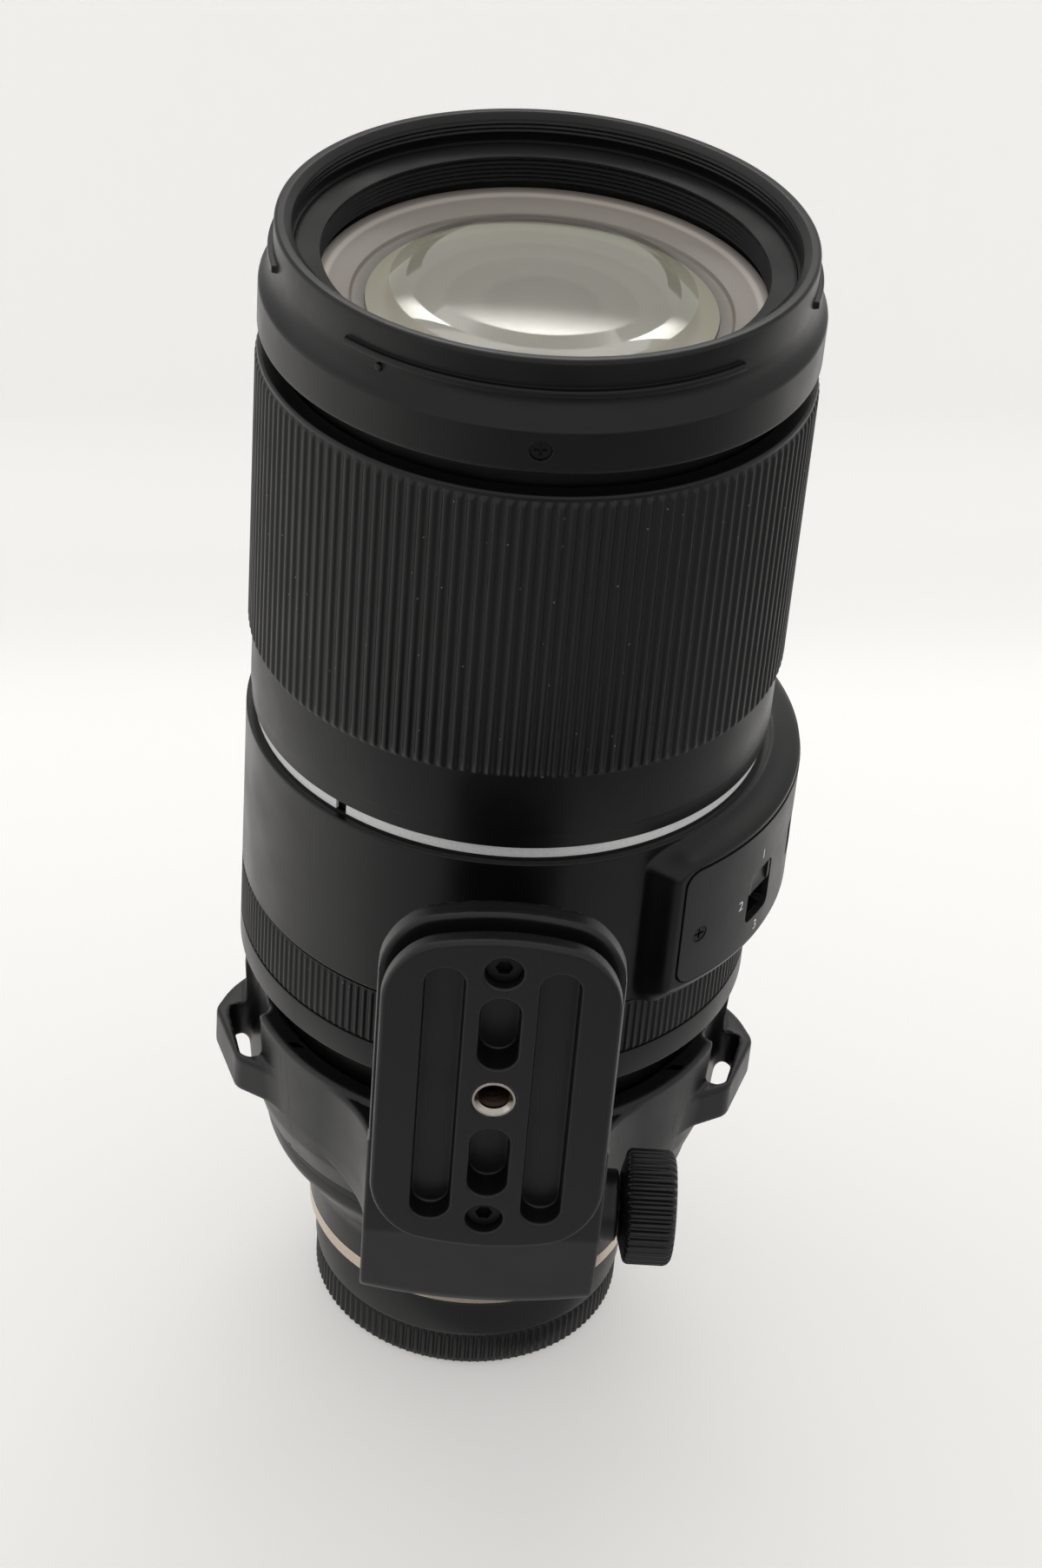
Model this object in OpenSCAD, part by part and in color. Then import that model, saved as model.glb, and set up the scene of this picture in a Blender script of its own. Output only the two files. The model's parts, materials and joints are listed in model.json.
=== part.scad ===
// Telephoto zoom lens with a tripod collar, standing on its rear cap with the front glass up.
// The origin is on the optical axis, on the plane that the rear cap stands on.
// +Z runs out of the front glass, the tripod foot is towards -Y and the switches are towards +X.
// Azimuths are in degrees from -Y towards +X.

/* [Rear cap] */
// Height of the cap
cap_h = 17.8; // [16:0.1:22]
// Outer radius of the cap
cap_r = 30.6; // [29.5:0.1:31.5]
// Wall of the cap
cap_wall = 1.8; // [1.4:0.1:2.4]
// Floor of the cap
cap_floor = 2; // [1:0.1:4]
// Height of the ribbed grip round the foot of the cap
cap_grip_h = 7; // [4:0.1:10]
// Number of ribs round the cap
cap_ribs = 120; // [60:1:150]
// Turn that frees the cap from the bayonet
cap_turn = 60; // [55:1:65]

/* [Mount] */
// Gap between the cap and the mount ring
mount_gap = 1.55; // [0.6:0.05:3]
// Outer radius of the metal mount ring
flange_r = 31.7; // [30:0.1:33]
// Thickness of the mount ring
flange_t = 2.45; // [2:0.05:4]
// Radius of the clear throat
throat_r = 19.5; // [18:0.1:20]
// Outer radius of the bayonet tube
bayonet_r = 21.6; // [21:0.1:22.4]
// Reach of the bayonet behind the mount face
bayonet_l = 6.4; // [5.5:0.1:8]
// Radial reach of a bayonet tab
tab_reach = 1.4; // [1:0.1:2]
// Height of a bayonet tab
tab_t = 1.7; // [1:0.1:2]
// Pitch radius of the mount screws
mount_screw_pr = 26; // [25:0.1:27]

/* [Rear barrel and seat] */
// Length of the rear barrel
rear_l = 24.2; // [20:0.1:30]
// Straight part of the rear barrel above the mount
rear_straight = 8; // [6:0.1:12]
// Wall of the fixed barrels
barrel_wall = 2; // [1.6:0.1:2.2]

/* [Tripod collar] */
// Step below the collar
collar_step = 2.6; // [1:0.1:6]
// Height of the collar ring
collar_h = 27.4; // [25:0.1:30]
// Wall at the top of the collar ring
collar_wall = 3.9; // [3.4:0.1:4.9]
// Wall above the collar's lower chamfer
collar_low_wall = 2.4; // [1.9:0.1:3.4]
// Height of the collar's lower chamfer
collar_chamfer = 6; // [3:0.1:8]
// Thickness of the sliding liner
liner_t = 0.5; // [0.3:0.05:0.8]
// Width of the neck between the collar and the foot
neck_w = 40.6; // [38:0.2:42]
// Rise of the neck's underside at its sides
neck_bow = 3.2; // [1:0.1:4]
// Fillet between the neck and the collar ring
neck_fillet = 10; // [6:0.5:14]
// Width of the clamp slit
slit_w = 1.2; // [0.8:0.1:2]

/* [Tripod foot] */
// Distance of the foot's face from the optical axis
foot_d = 78; // [75:0.5:90]
// Thickness of the dovetail pad
pad_t = 6; // [5:0.1:8]
// Thickness of the arm behind the pad
arm_t = 4; // [3:0.1:6]
// Width of the pad
pad_w = 38.8; // [37:0.1:40]
// Length of the pad
pad_l = 66; // [60:0.5:76]
// Height of the pad's lower end over the top of the collar ring
pad_rise = 2; // [1:0.5:6]
// Radius of the bowed ends of the pad
pad_bow = 48; // [40:1:80]
// Radius of the pad's corners
pad_corner = 8.5; // [5:0.5:10]
// Width of the dovetail's neck
dovetail_w = 33; // [30:0.5:35]
// Width of the slots in the pad
slot_w = 6.5; // [5:0.1:7]
// Depth of the slots in the pad
slot_depth = 3.6; // [2:0.1:4.5]
// Length of a long slot
long_slot_l = 53.8; // [44:0.1:54]
// Distance of the long slots from the middle
long_slot_x = 9.25; // [9:0.05:10]
// Length of a short slot
short_slot_l = 14.8; // [10:0.1:16]
// Distance of the short slots from the middle
short_slot_z = 13.85; // [12.5:0.05:15]
// Distance of the foot screws from the middle
foot_screw_z = 26.5; // [25:0.1:28]
// Minor radius of the quarter inch tripod thread
thread_r = 2.55; // [2.5:0.01:2.7]
// Outer radius of the threaded bush
bush_r = 3.7; // [3.5:0.1:4.5]
// Length of the threaded bush
bush_l = 8.5; // [7.5:0.1:9]

/* [Clamp knob] */
// Radius of the knob over its ribs
knob_r = 10.2; // [8:0.1:11]
// Length of the knob
knob_l = 9.6; // [8:0.1:14]
// Number of ribs round the knob
knob_ribs = 38; // [24:1:48]
// Distance of the knob's axis from the outside of the collar ring
knob_clear = 8.1; // [7:0.1:9.5]
// Height of the knob's axis above the lower edge of the collar
knob_rise = 18.2; // [14:0.1:20]
// Radius of the clamp stud
stud_r = 2.5; // [2:0.1:3]
// Running clearance of a pin in its hole
pin_clear = 0.08; // [0.04:0.01:0.1]

/* [Strap lugs] */
// Azimuth of the middle of a strap slot, from the foot
lug_az = 76; // [70:1:85]
// Thickness of the bar outside a strap slot
lug_bar = 3; // [2.5:0.1:4]
// Height of a lug's upper face above the lower edge of the collar
lug_rise = 17.4; // [14:0.1:20]
// Length of a strap slot
strap_l = 15; // [12:0.1:16]
// Width of a strap slot
strap_w = 5.3; // [5.2:0.1:5.5]
// Wall between a strap slot and the collar's bore
strap_wall = 1; // [0.8:0.1:1.2]

/* [Focus ring] */
// Gap between the collar and the focus ring
focus_gap = 8.7; // [6:0.1:12]
// Height of the focus ring
focus_h = 17.3; // [14:0.1:24]
// Height of the smooth band below the focus grip
focus_band_h = 5.8; // [4:0.1:8]
// Wall of the focus ring over the seat that it turns on
focus_wall = 5.3; // [5:0.1:5.6]
// Number of ribs round the focus grip
focus_ribs = 198; // [90:1:210]

/* [Main barrel] */
// Outer radius of the main barrel and the focus ring
barrel_r = 46.5; // [46:0.1:48]
// Gap between the focus ring and the main barrel
ring_gap = 0.6; // [0.3:0.1:1.5]
// Height of the main barrel
barrel_h = 32.7; // [31:0.1:38]
// Step from the main barrel in to the white mark ring under the zoom ring
mark_step = 1.6; // [1.5:0.05:1.7]
// Visible height of the white mark ring
mark_h = 2.2; // [1:0.1:2.5]
// How far the switch boss stands out of the main barrel
boss_proud = 5.3; // [4.5:0.1:7]
// Taper of the switch boss at its foot
boss_foot = 3; // [1:0.1:4]
// Half angle of the switch plate
plate_half = 53.4; // [50:0.1:54]
// Height of the switch plate
plate_h = 24; // [22:0.1:26]
// Thickness of the switch plate
plate_t = 1.2; // [0.8:0.1:1.6]
// How far the switch plate stands out of the boss
plate_proud = 0.2; // [0.1:0.05:0.4]
// Angle between neighbouring switches
switch_pitch = 20; // [18:0.5:21]
// Width of a switch knob
switch_w = 7.6; // [6:0.1:9]
// Height of a switch knob
switch_h = 4.2; // [3:0.1:5]
// Travel from one switch position to the next
switch_step = 2.8; // [2:0.1:3]

/* [Zoom ring] */
// Backward travel that unlocks the zoom ring
lock_travel = 2.2; // [1.5:0.1:2.3]
// Gap left below the zoom ring when it is unlocked
lock_gap = 0.5; // [0.3:0.1:1]
// Height of the zoom ring
zoom_h = 68.5; // [66:0.1:80]
// Height of the smooth band below the zoom grip
zoom_band_h = 14.9; // [10:0.1:20]
// Step from the main barrel in to the zoom ring's smooth band
zoom_step = 0.7; // [0.5:0.05:0.9]
// How far the zoom grip's ribs stand out of the smooth band
grip_proud = 0.8; // [0.6:0.05:1.2]
// Number of ribs round the zoom grip
grip_ribs = 144; // [90:1:170]
// Turn of the zoom ring from wide to tele
zoom_turn = 75; // [60:1:80]
// Extension of the front barrel from wide to tele
zoom_travel = 73.7; // [60:0.1:74]
// Travel of the variator group from wide to tele
variator_travel = 26; // [20:0.1:30]

/* [Sleeves] */
// Gap between neighbouring sleeves that slide or turn
run_gap = 0.4; // [0.3:0.05:0.5]
// Wall of the zoom ring
zoom_wall = 2.6; // [2.5:0.05:2.65]
// Wall of the front tube and the guide tube
tube_wall = 2; // [1.8:0.05:2.1]
// Wall of the cam sleeve
cam_wall = 1.8; // [1.5:0.1:2]
// Radius of a cam follower
follower_r = 1.6; // [1.2:0.1:1.8]
// Clearance of a follower in its slots
follower_clear = 0.3; // [0.2:0.05:0.4]

/* [Front barrel] */
// Gap between the zoom ring and the front ring
front_gap = 4; // [3:0.1:6]
// Height of the front ring
front_h = 18.5; // [17.5:0.1:22]
// Step from the main barrel in to the front ring's lower band
band_step = 0.1; // [0.05:0.05:0.4]
// Height of the front ring's lower band
band_h = 7.8; // [7:0.1:9]
// Step from the lower band in to the front rim
rim_step = 2.3; // [1.8:0.1:2.6]
// Wall of the front rim outside the filter thread
rim_wall = 2.9; // [2.6:0.05:3.1]
// Length of the filter thread
filter_l = 4; // [3.5:0.1:5]
// Reach of the hood bayonet tabs beyond the rim
hood_reach = 0.9; // [0.5:0.1:1.2]
// Wall of the cell round the front glass
glass_wall = 3; // [2.8:0.05:3.3]
// Lip of the trim ring over the edge of the front glass
trim_lip = 1.3; // [1:0.05:1.8]
// Drop of the trim ring's face towards its lip
trim_slope = 0.6; // [0.3:0.05:1.2]
// Depth of the light trap from the lip to the edge of the glass
trap_h = 5.25; // [4:0.05:6]

/* [Iris and stabiliser] */
// Open radius of the iris
iris_open_r = 18; // [17:0.5:18.5]
// Turn of an iris blade from open to closed
blade_turn = 34; // [25:1:36]
// Thickness of an iris blade
blade_t = 0.25; // [0.15:0.05:0.3]
// Shift of the stabiliser either way
stabiliser_shift = 1; // [0.5:0.1:1.4]
// Radius of the glass in the moving groups
group_glass_r = 17; // [15:0.5:18]
// Wall of the focus cell round its glass
cell_wall = 6; // [4:0.5:7]
// Forward travel of the focus group
focus_travel = 14; // [8:0.5:15]
// Backward travel of the focus group
focus_back = 6; // [3:0.5:7]

/* [Hidden] */
$fn = 96;

// A bayonet tab is a little shorter than the turn that frees the cap
tab_arc = cap_turn - 10;

// Heights of the stack, from the floor up
flange_z = cap_h + mount_gap;
rear_z = flange_z + flange_t;
seat_z = rear_z + rear_l;
collar_z = seat_z + collar_step;
collar_top = collar_z + collar_h;
focus_z = collar_top + focus_gap;
focus_top = focus_z + focus_h;
barrel_z = focus_top + ring_gap;
barrel_top = barrel_z + barrel_h;
zoom_z = barrel_top + lock_travel + lock_gap;
zoom_top = zoom_z + zoom_h;
front_z = zoom_top + front_gap;
front_top = front_z + front_h;

// Radii that follow the main barrel
seat_r = barrel_r - run_gap - focus_wall;
boss_r = barrel_r + boss_proud;
mark_r = barrel_r - mark_step;
zoom_r = barrel_r - zoom_step;
grip_r = zoom_r + grip_proud;
band_r = barrel_r - band_step;
rim_r = band_r - rim_step;
filter_r = rim_r - rim_wall;

// Radii of the nested sleeves, from the zoom ring inwards
zoom_in = zoom_r - zoom_wall;
tube_r = zoom_in - run_gap;
tube_in = tube_r - tube_wall;
guide_r = tube_in - run_gap;
guide_in = guide_r - tube_wall;
cam_r = guide_in - run_gap;
cam_in = cam_r - cam_wall;
cell_r = cam_in - run_gap;
seat_in = seat_r - barrel_wall;
seat_gap = 0.3;
web_t = 2;

barrel_in = barrel_r - 1.5;

// The zoom ring's skirt runs inside the neck of the main barrel
lip_in = mark_r + 0.2;
skirt_r = zoom_in + 0.75;
mark_in = skirt_r + seat_gap;
skirt_z = barrel_z + 6;
key_z = skirt_z + 2.3;
key_h = 2.5;
key_w = 4;
grip_seat = 0.8;

// Cam drive
seat_flange_t = 3;
guide_z = barrel_z + seat_flange_t;
cell_floor = 1.5;
front_drop = 3;
guide_top = front_z - front_drop - cell_floor - 0.6;
cam_top = guide_top - 0.6;
tube_z = key_z + key_h + 3.6;
follower_z = tube_z + 5;
variator_z = follower_z + 7;
follower_az = [30, 150, 270];
variator_az = [90, 210, 330];
key_az = [0, 180];
cam_mid_r = (cam_r + cam_in) / 2;

// Front group
glass_r = tube_in - glass_wall;
trim_r = glass_r - trim_lip;
glass_edge = 5;
glass_sag = 4;
glass_curve = (glass_r * glass_r + glass_sag * glass_sag) / (2 * glass_sag);
trim_top = front_top - filter_l - 0.95;
trim_seat = trim_top - 3.4;
trim_inner_z = trim_top - trim_slope;
glass_z = trim_inner_z - trap_h - glass_edge;

// Collar, neck and foot
collar_bore = seat_r + seat_gap + liner_t;
collar_r = collar_bore + collar_wall;
collar_low_r = collar_bore + collar_low_wall;
lug_r = collar_bore + strap_wall + strap_w + lug_bar;
knob_d = collar_r + knob_clear;
foot_z = collar_top + pad_rise + pad_l / 2;
arm_d = foot_d - pad_t;
arm_back = arm_d - arm_t;
arm_over = 0.8;
knob_x = neck_w / 2 + 4.2;
knob_z = collar_z + knob_rise;
slit_x = neck_w / 2 - 6.3;
strap_mid_r = collar_bore + strap_wall + strap_w / 2;
lug_z = collar_z + lug_rise;
screw_hole_r = 1.6;
counterbore_r = 3.08;

// Switch panel
plate_z = barrel_z + 4.9;
plate_r = boss_r + plate_proud;
plate_gap = 0.15;
switch_az = [for (i = [0:3]) 90 + (i - 1.5) * switch_pitch];
switch_steps = [2, 1, 1, 2];
switch_mid = plate_z + 9.8;
switch_top = switch_mid + switch_step + switch_h / 2;
switch_gap = 0.3;
switch_in = boss_r - 3.6;
plate_screw_az = plate_half - 4.5;

// Focus group, stabiliser and iris, stacked inside the seat barrel
focus_cell_h = 6;
focus_cell_z = seat_z + web_t + focus_back + 1.5;
rod_pr = seat_in - 5.8;
focus_cell_r = rod_pr - 7;
focus_glass_r = focus_cell_r - cell_wall;
stab_glass_r = focus_glass_r - cell_wall / 2;
rod_r = 1.25;
magnet_y = seat_in - 6.3;
coil_half = 3.2;
stabiliser_z = focus_cell_z + focus_cell_h + focus_travel + 2.5;
slider_z = stabiliser_z + web_t + seat_gap;
stab_cell_z = slider_z + 1.5 + seat_gap;
stab_cell_h = 3.6;
tongue_w = 18;
tongue_end = seat_in - 5.3;
yoke_in = norm([tongue_w / 2, tongue_end]) + stabiliser_shift + 0.1;
yoke_z = stab_cell_z + stab_cell_h + 0.5;
yoke_t = 1;
iris_z = yoke_z + yoke_t + 2;
iris_plate_t = 1.2;
blade_pitch = blade_t + 0.2;
blade_count = 7;
blade_r = iris_open_r + 5;
pivot_r = iris_open_r + 7;
drive_r = pivot_r + 4.4;
iris_rim_r = drive_r + 2;
drive_low = norm([pivot_r + (drive_r - pivot_r) * cos(blade_turn), (drive_r - pivot_r) * sin(blade_turn)]);
blade_z = iris_z + iris_plate_t + 0.3;
iris_ring_z = blade_z + blade_count * blade_pitch + 0.1;
iris_ring_t = 1.2;
pivot_pin_r = 0.9;
drive_pin_r = 0.8;

// Helpers

// Turns children so that their +X axis points to an azimuth
module at_az(a) rotate([0, 0, a - 90]) children();

// A plain ring
module ring(r_out, r_in, z, h)
    translate([0, 0, z]) difference() {
        cylinder(r = r_out, h = h);
        translate([0, 0, -1]) cylinder(r = r_in, h = h + 2);
    }

// A solid turned about the optical axis from a profile of radius and height
module turned(profile) rotate_extrude() polygon(profile);

// Part of a ring between two azimuths
module sector(r_out, r_in, z, h, a0, a1)
    translate([0, 0, z]) at_az(a0) rotate_extrude(angle = a1 - a0)
        translate([r_in, 0]) square([r_out - r_in, h]);

// A pin that points along an azimuth, between two radii
module radial_pin(a, z, r, from, to)
    at_az(a) translate([from, 0, z]) rotate([0, 90, 0]) cylinder(r = r, h = to - from, $fn = 32);

// Outline of a ring of ribs, each with a crest and two flanks
module rib_outline(root, crest, count, crest_share, root_share) {
    step = 360 / count;
    flank = (1 - root_share - crest_share) / 2;
    polygon([for (i = [0:count - 1]) for (p = [
        [root, 0], [crest, flank], [crest, flank + crest_share], [root, 1 - root_share]])
        let (a = (i + p[1]) * step, r = p[0]) [r * cos(a), r * sin(a)]]);
}

// A flat slot with round ends, along Y
module slot_outline(w, l) {
    square([w, l - w], center = true);
    for (s = [-1, 1]) translate([0, s * (l - w) / 2]) circle(d = w);
}

// A rectangle with round corners
module rounded(w, l, r) {
    square([w - 2 * r, l], center = true);
    square([w, l - 2 * r], center = true);
    for (x = [-1, 1]) for (y = [-1, 1])
        translate([x * (w / 2 - r), y * (l / 2 - r)]) circle(r = r, $fn = 48);
}

// Points of a circular arc
function arc(cx, cy, r, a0, a1, n) =
    [for (i = [0:n]) let (a = a0 + (a1 - a0) * i / n) [cx + r * cos(a), cy + r * sin(a)]];

// Points of a lens face, from its rim to its middle: a positive sag bulges, a negative one is hollow
function lens_face(r, sag, n = 8) =
    let (curve = (r * r + sag * sag) / (2 * sag), rim = asin(r / curve))
    [for (i = [0:n]) let (a = rim * (1 - i / n))
        [max(0, curve * sin(a)), curve * cos(a) - curve + sag]];

// A glass with its rim between two heights and the sags of its two faces
module glass(r, z, edge, sag_front, sag_rear) {
    front = lens_face(r, sag_front);
    rear = lens_face(r, sag_rear);
    last = len(rear) - 1;
    turned(concat([for (i = [0:last]) [rear[last - i][0], z - rear[last - i][1]]],
        [for (p = front) [p[0], z + edge + p[1]]]));
}

// Cutter for a helical cam slot in the cam sleeve, as a chain of flat-sided radial cuts
module cam_cut(a0, z0, travel) {
    n = 14;
    over = 3;
    rise = travel / zoom_turn;
    slope = rise * 180 / PI / cam_mid_r;
    half = (follower_r + follower_clear) * sqrt(1 + slope * slope);
    turn = (zoom_turn + 2 * over) / n;
    u = (cam_r + 1) * tan(turn / 2) + 0.02;
    for (i = [0:n - 1]) {
        t = -over + turn * (i + 0.5);
        dz = rise * turn / 2;
        at_az(a0 - t) translate([cam_in - 1, 0, z0 + rise * t]) rotate([90, 0, 90])
            linear_extrude(cam_wall + 2)
                polygon([[u, -dz - half], [u, -dz + half], [-u, dz + half], [-u, dz - half]]);
    }
}

// Cutter for a straight guide slot
module guide_cut(a, z0, travel) {
    w = 2 * (follower_r + follower_clear);
    at_az(a) translate([guide_in - 1, 0, z0 + travel / 2]) rotate([90, 0, 90])
        linear_extrude(tube_wall + 2) slot_outline(w, travel + w);
}

// Fixed barrels

// Outline of the switch plate, cut as a curved block
module plate_block(r_out, r_in, gap) {
    corner = 3 + gap;
    a = plate_half + gap / boss_r * 180 / PI;
    difference() {
        sector(r_out, r_in, plate_z - gap, plate_h + 2 * gap, 90 - a, 90 + a);
        for (s = [-1, 1]) for (t = [0, 1])
            at_az(90 + s * a) translate([r_in - 1, 0, plate_z - gap + t * (plate_h + 2 * gap)])
                rotate([90, 0, 90]) linear_extrude(r_out - r_in + 2)
                    scale([-s, 1 - 2 * t]) polygon(concat([[-1, -1], [corner, -1], [corner, -0.02]],
                        arc(corner, corner, corner, 256, 194, 4), [[-0.02, corner], [-1, corner]]));
    }
}

// Slot for one switch knob, cut inwards from the plate
module switch_cut(i, from, to) {
    l = switch_h + switch_steps[i] * switch_step + 2 * switch_gap;
    at_az(switch_az[i]) translate([from, 0, switch_top + switch_gap - l / 2])
        rotate([90, 0, 90]) linear_extrude(to - from)
            rounded(switch_w + 2 * switch_gap, l, 1.4);
}

module main_barrel() color("#26272a") {
    rim = 0.7;
    neck_h = barrel_top + lock_gap + lock_travel - mark_h - 0.1;
    shelf_z = plate_z + plate_h + 0.3;
    lead = plate_half + 1;
    run_out = plate_half + 11;
    ramp_x = (boss_r * boss_r - barrel_r * barrel_r) / 2
        / (boss_r * cos(lead) - barrel_r * cos(run_out));
    ramp_r = sqrt(boss_r * boss_r - 2 * boss_r * ramp_x * cos(lead) + ramp_x * ramp_x);
    difference() {
        union() {
            turned(concat(
                [[barrel_in, barrel_z], [barrel_r - 0.2, barrel_z], [barrel_r, barrel_z + 0.2]],
                arc(barrel_r - rim, barrel_top - rim, rim, 0, 90, 6),
                [[mark_r, barrel_top], [mark_r, neck_h], [mark_in, neck_h],
                 [mark_in, barrel_top - 4.3], [barrel_in, barrel_top - 5]]));
            intersection() {
                turned([[barrel_r - 1, barrel_z], [boss_r - boss_foot, barrel_z], [boss_r, plate_z - 0.5],
                    [boss_r, shelf_z], [boss_r - 0.5, shelf_z + 0.45], [barrel_r - 1, barrel_top - 1]]);
                translate([ramp_x, 0, barrel_z]) cylinder(r = ramp_r, h = barrel_h);
            }
        }
        plate_block(plate_r + 2, plate_r - plate_t, plate_gap);
        for (i = [0:3]) switch_cut(i, switch_in - switch_gap, plate_r + 1);
        for (s = [-1, 1]) radial_pin(90 + s * plate_screw_az, switch_mid, 0.8,
            plate_r - plate_t - 2, plate_r);
    }
}

module switch_plate() color("#2f3033") difference() {
    plate_block(plate_r, plate_r - plate_t, 0);
    for (i = [0:3]) switch_cut(i, plate_r - plate_t - 1, plate_r + 1);
    for (s = [-1, 1]) {
        radial_pin(90 + s * plate_screw_az, switch_mid, 1.65, plate_r - 0.9, plate_r + 1);
        radial_pin(90 + s * plate_screw_az, switch_mid, 0.8, plate_r - plate_t - 1, plate_r);
    }
}

module switch_plate_screws() color("#1b1b1c") for (s = [-1, 1]) difference() {
    union() {
        radial_pin(90 + s * plate_screw_az, switch_mid, 1.65, plate_r - 0.9, plate_r - 0.15);
        radial_pin(90 + s * plate_screw_az, switch_mid, 0.8, plate_r - plate_t - 2, plate_r - 0.9);
    }
    at_az(90 + s * plate_screw_az) translate([plate_r, 0, switch_mid])
        for (w = [[2, 0.4], [0.4, 2]]) cube([1.2, w[0], w[1]], center = true);
}

// One switch knob, with a hollowed face between two thumb ridges
module switch_knob(i) color("#1d1d1f") difference() {
    at_az(switch_az[i]) translate([switch_in, 0, switch_top - switch_h / 2]) rotate([90, 0, 90])
        linear_extrude(plate_r - switch_in - 0.25) rounded(switch_w, switch_h, 1.1);
    at_az(switch_az[i]) translate([plate_r + 5.2, 0, switch_top - switch_h / 2])
        rotate([90, 0, 0]) cylinder(r = 6, h = switch_w - 1.6, center = true);
}

module lock_mark_ring() color("#d9dadb") difference() {
    ring(mark_r, mark_in, zoom_z - mark_h - 0.1, mark_h);
    for (i = [0:2]) at_az(120 * i - 38.7) translate([mark_r, 0, zoom_z]) cube([2, 2.2, 8], center = true);
}

module seat_barrel() color("#1c1c1e") difference() {
    turned([[focus_cell_r, seat_z], [seat_r, seat_z], [seat_r, focus_z - 2.2], [seat_r + 1.6, focus_z - 2.2],
        [seat_r + 1.6, focus_z - seat_gap], [seat_r, focus_z - seat_gap], [seat_r, barrel_z],
        [barrel_in, barrel_z], [barrel_in, guide_z], [cam_in, guide_z], [cam_in, barrel_z],
        [seat_in, barrel_z - 2], [seat_in, seat_z + web_t], [focus_cell_r, seat_z + web_t]]);
    for (s = [-1, 1]) translate([s * rod_pr, 0, seat_z + 0.5]) cylinder(r = rod_r, h = 8, $fn = 32);
    translate([0, magnet_y, seat_z + web_t]) cube([6, 3, 2], center = true);
}

module guide_tube() color("#3a3a3d") difference() {
    ring(guide_r, guide_in, guide_z, guide_top - guide_z);
    for (a = follower_az) guide_cut(a, follower_z, zoom_travel);
    for (a = variator_az) guide_cut(a, variator_z, variator_travel);
    window = key_w / guide_in * 180 / PI / 2 + 2;
    for (a = key_az) sector(guide_r + 1, guide_in - 1, key_z - lock_travel - 0.6,
        key_h + lock_travel + 1.2, a - window, a + zoom_turn + window);
}

module rear_barrel() color("#232325") difference() {
    turned([[throat_r, rear_z], [flange_r, rear_z], [flange_r, rear_z + rear_straight],
        [seat_r, seat_z - 3], [seat_r, seat_z], [seat_in, seat_z], [seat_in, seat_z - 3.6],
        [flange_r - barrel_wall, rear_z + rear_straight + 0.8], [flange_r - barrel_wall, rear_z + 3],
        [throat_r, rear_z + 3]]);
    for (i = [0:3]) at_az(45 + 90 * i) translate([mount_screw_pr, 0, rear_z - 1])
        cylinder(r = 0.9, h = 3.5, $fn = 32);
}

module mount_flange() color("#b9b3a6") difference() {
    union() {
        turned([[throat_r, flange_z - bayonet_l], [bayonet_r, flange_z - bayonet_l],
            [bayonet_r, flange_z], [flange_r - 0.3, flange_z], [flange_r, flange_z + 0.3],
            [flange_r, rear_z], [throat_r, rear_z]]);
        for (i = [0:2]) sector(bayonet_r + tab_reach, bayonet_r - 0.5, flange_z - bayonet_l, tab_t,
            120 * i - tab_arc / 2, 120 * i + tab_arc / 2);
    }
    for (i = [0:3]) at_az(45 + 90 * i) translate([mount_screw_pr, 0, flange_z - 1]) {
        cylinder(r = 0.9, h = flange_t + 2, $fn = 32);
        cylinder(r = 1.8, h = 2.2, $fn = 32);
    }
}

module mount_screws() color("#8d8a84") for (i = [0:3])
    at_az(45 + 90 * i) translate([mount_screw_pr, 0, flange_z]) difference() {
        union() {
            translate([0, 0, 0.1]) cylinder(r = 1.8, h = 1.1, $fn = 32);
            cylinder(r = 0.9, h = flange_t + 2.5, $fn = 32);
        }
        for (w = [[2, 0.4], [0.4, 2]]) cube([w[0], w[1], 1.2], center = true);
    }

module contact_block() color("#4a3f2a") {
    arc_half = 36;
    sector(throat_r, throat_r - 3.4, flange_z - bayonet_l + 0.6, bayonet_l - 1,
        180 - arc_half, 180 + arc_half);
    for (i = [0:9]) at_az(180 + (i - 4.5) * 6.6)
        translate([throat_r - 1.7, 0, flange_z - bayonet_l + 0.2])
            cylinder(r = 0.7, h = 1, $fn = 24);
}

module rear_cell() color("#1a1a1b") turned([[group_glass_r, rear_z + 4], [group_glass_r + 2, rear_z + 4],
    [group_glass_r + 2, rear_z + 3], [flange_r - barrel_wall - 0.1, rear_z + 3],
    [flange_r - barrel_wall - 0.1, rear_z + 5],
    [group_glass_r + 2, rear_z + 5], [group_glass_r + 2, rear_z + 13], [group_glass_r - 1, rear_z + 13],
    [group_glass_r - 1, rear_z + 12], [group_glass_r, rear_z + 12]]);

module rear_glass() color("#9fb4b0") glass(group_glass_r, rear_z + 5.5, 4, 1.4, 1.2);

module circuit_board() color("#1f5a36") difference() {
    union() {
        ring(flange_r - barrel_wall - 0.4, group_glass_r + 2.4, rear_z + 5, 1.6);
        for (a = [20, 75, 140, 200, 260, 320]) at_az(a)
            translate([(flange_r + group_glass_r) / 2, 0, rear_z + 7]) cube([4, 5, 1.2], center = true);
    }
}

// Focus drive, stabiliser and iris

module focus_rods() color("silver") for (s = [-1, 1])
    translate([s * rod_pr, 0, seat_z + 0.5])
        cylinder(r = rod_r, h = stabiliser_z + 1 - seat_z - 0.5, $fn = 32);

module focus_magnet() color("#6c6c70")
    translate([0, magnet_y, (seat_z + web_t - 1 + stabiliser_z + 1) / 2])
        cube([6, 3, stabiliser_z - seat_z - web_t + 2], center = true);

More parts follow.
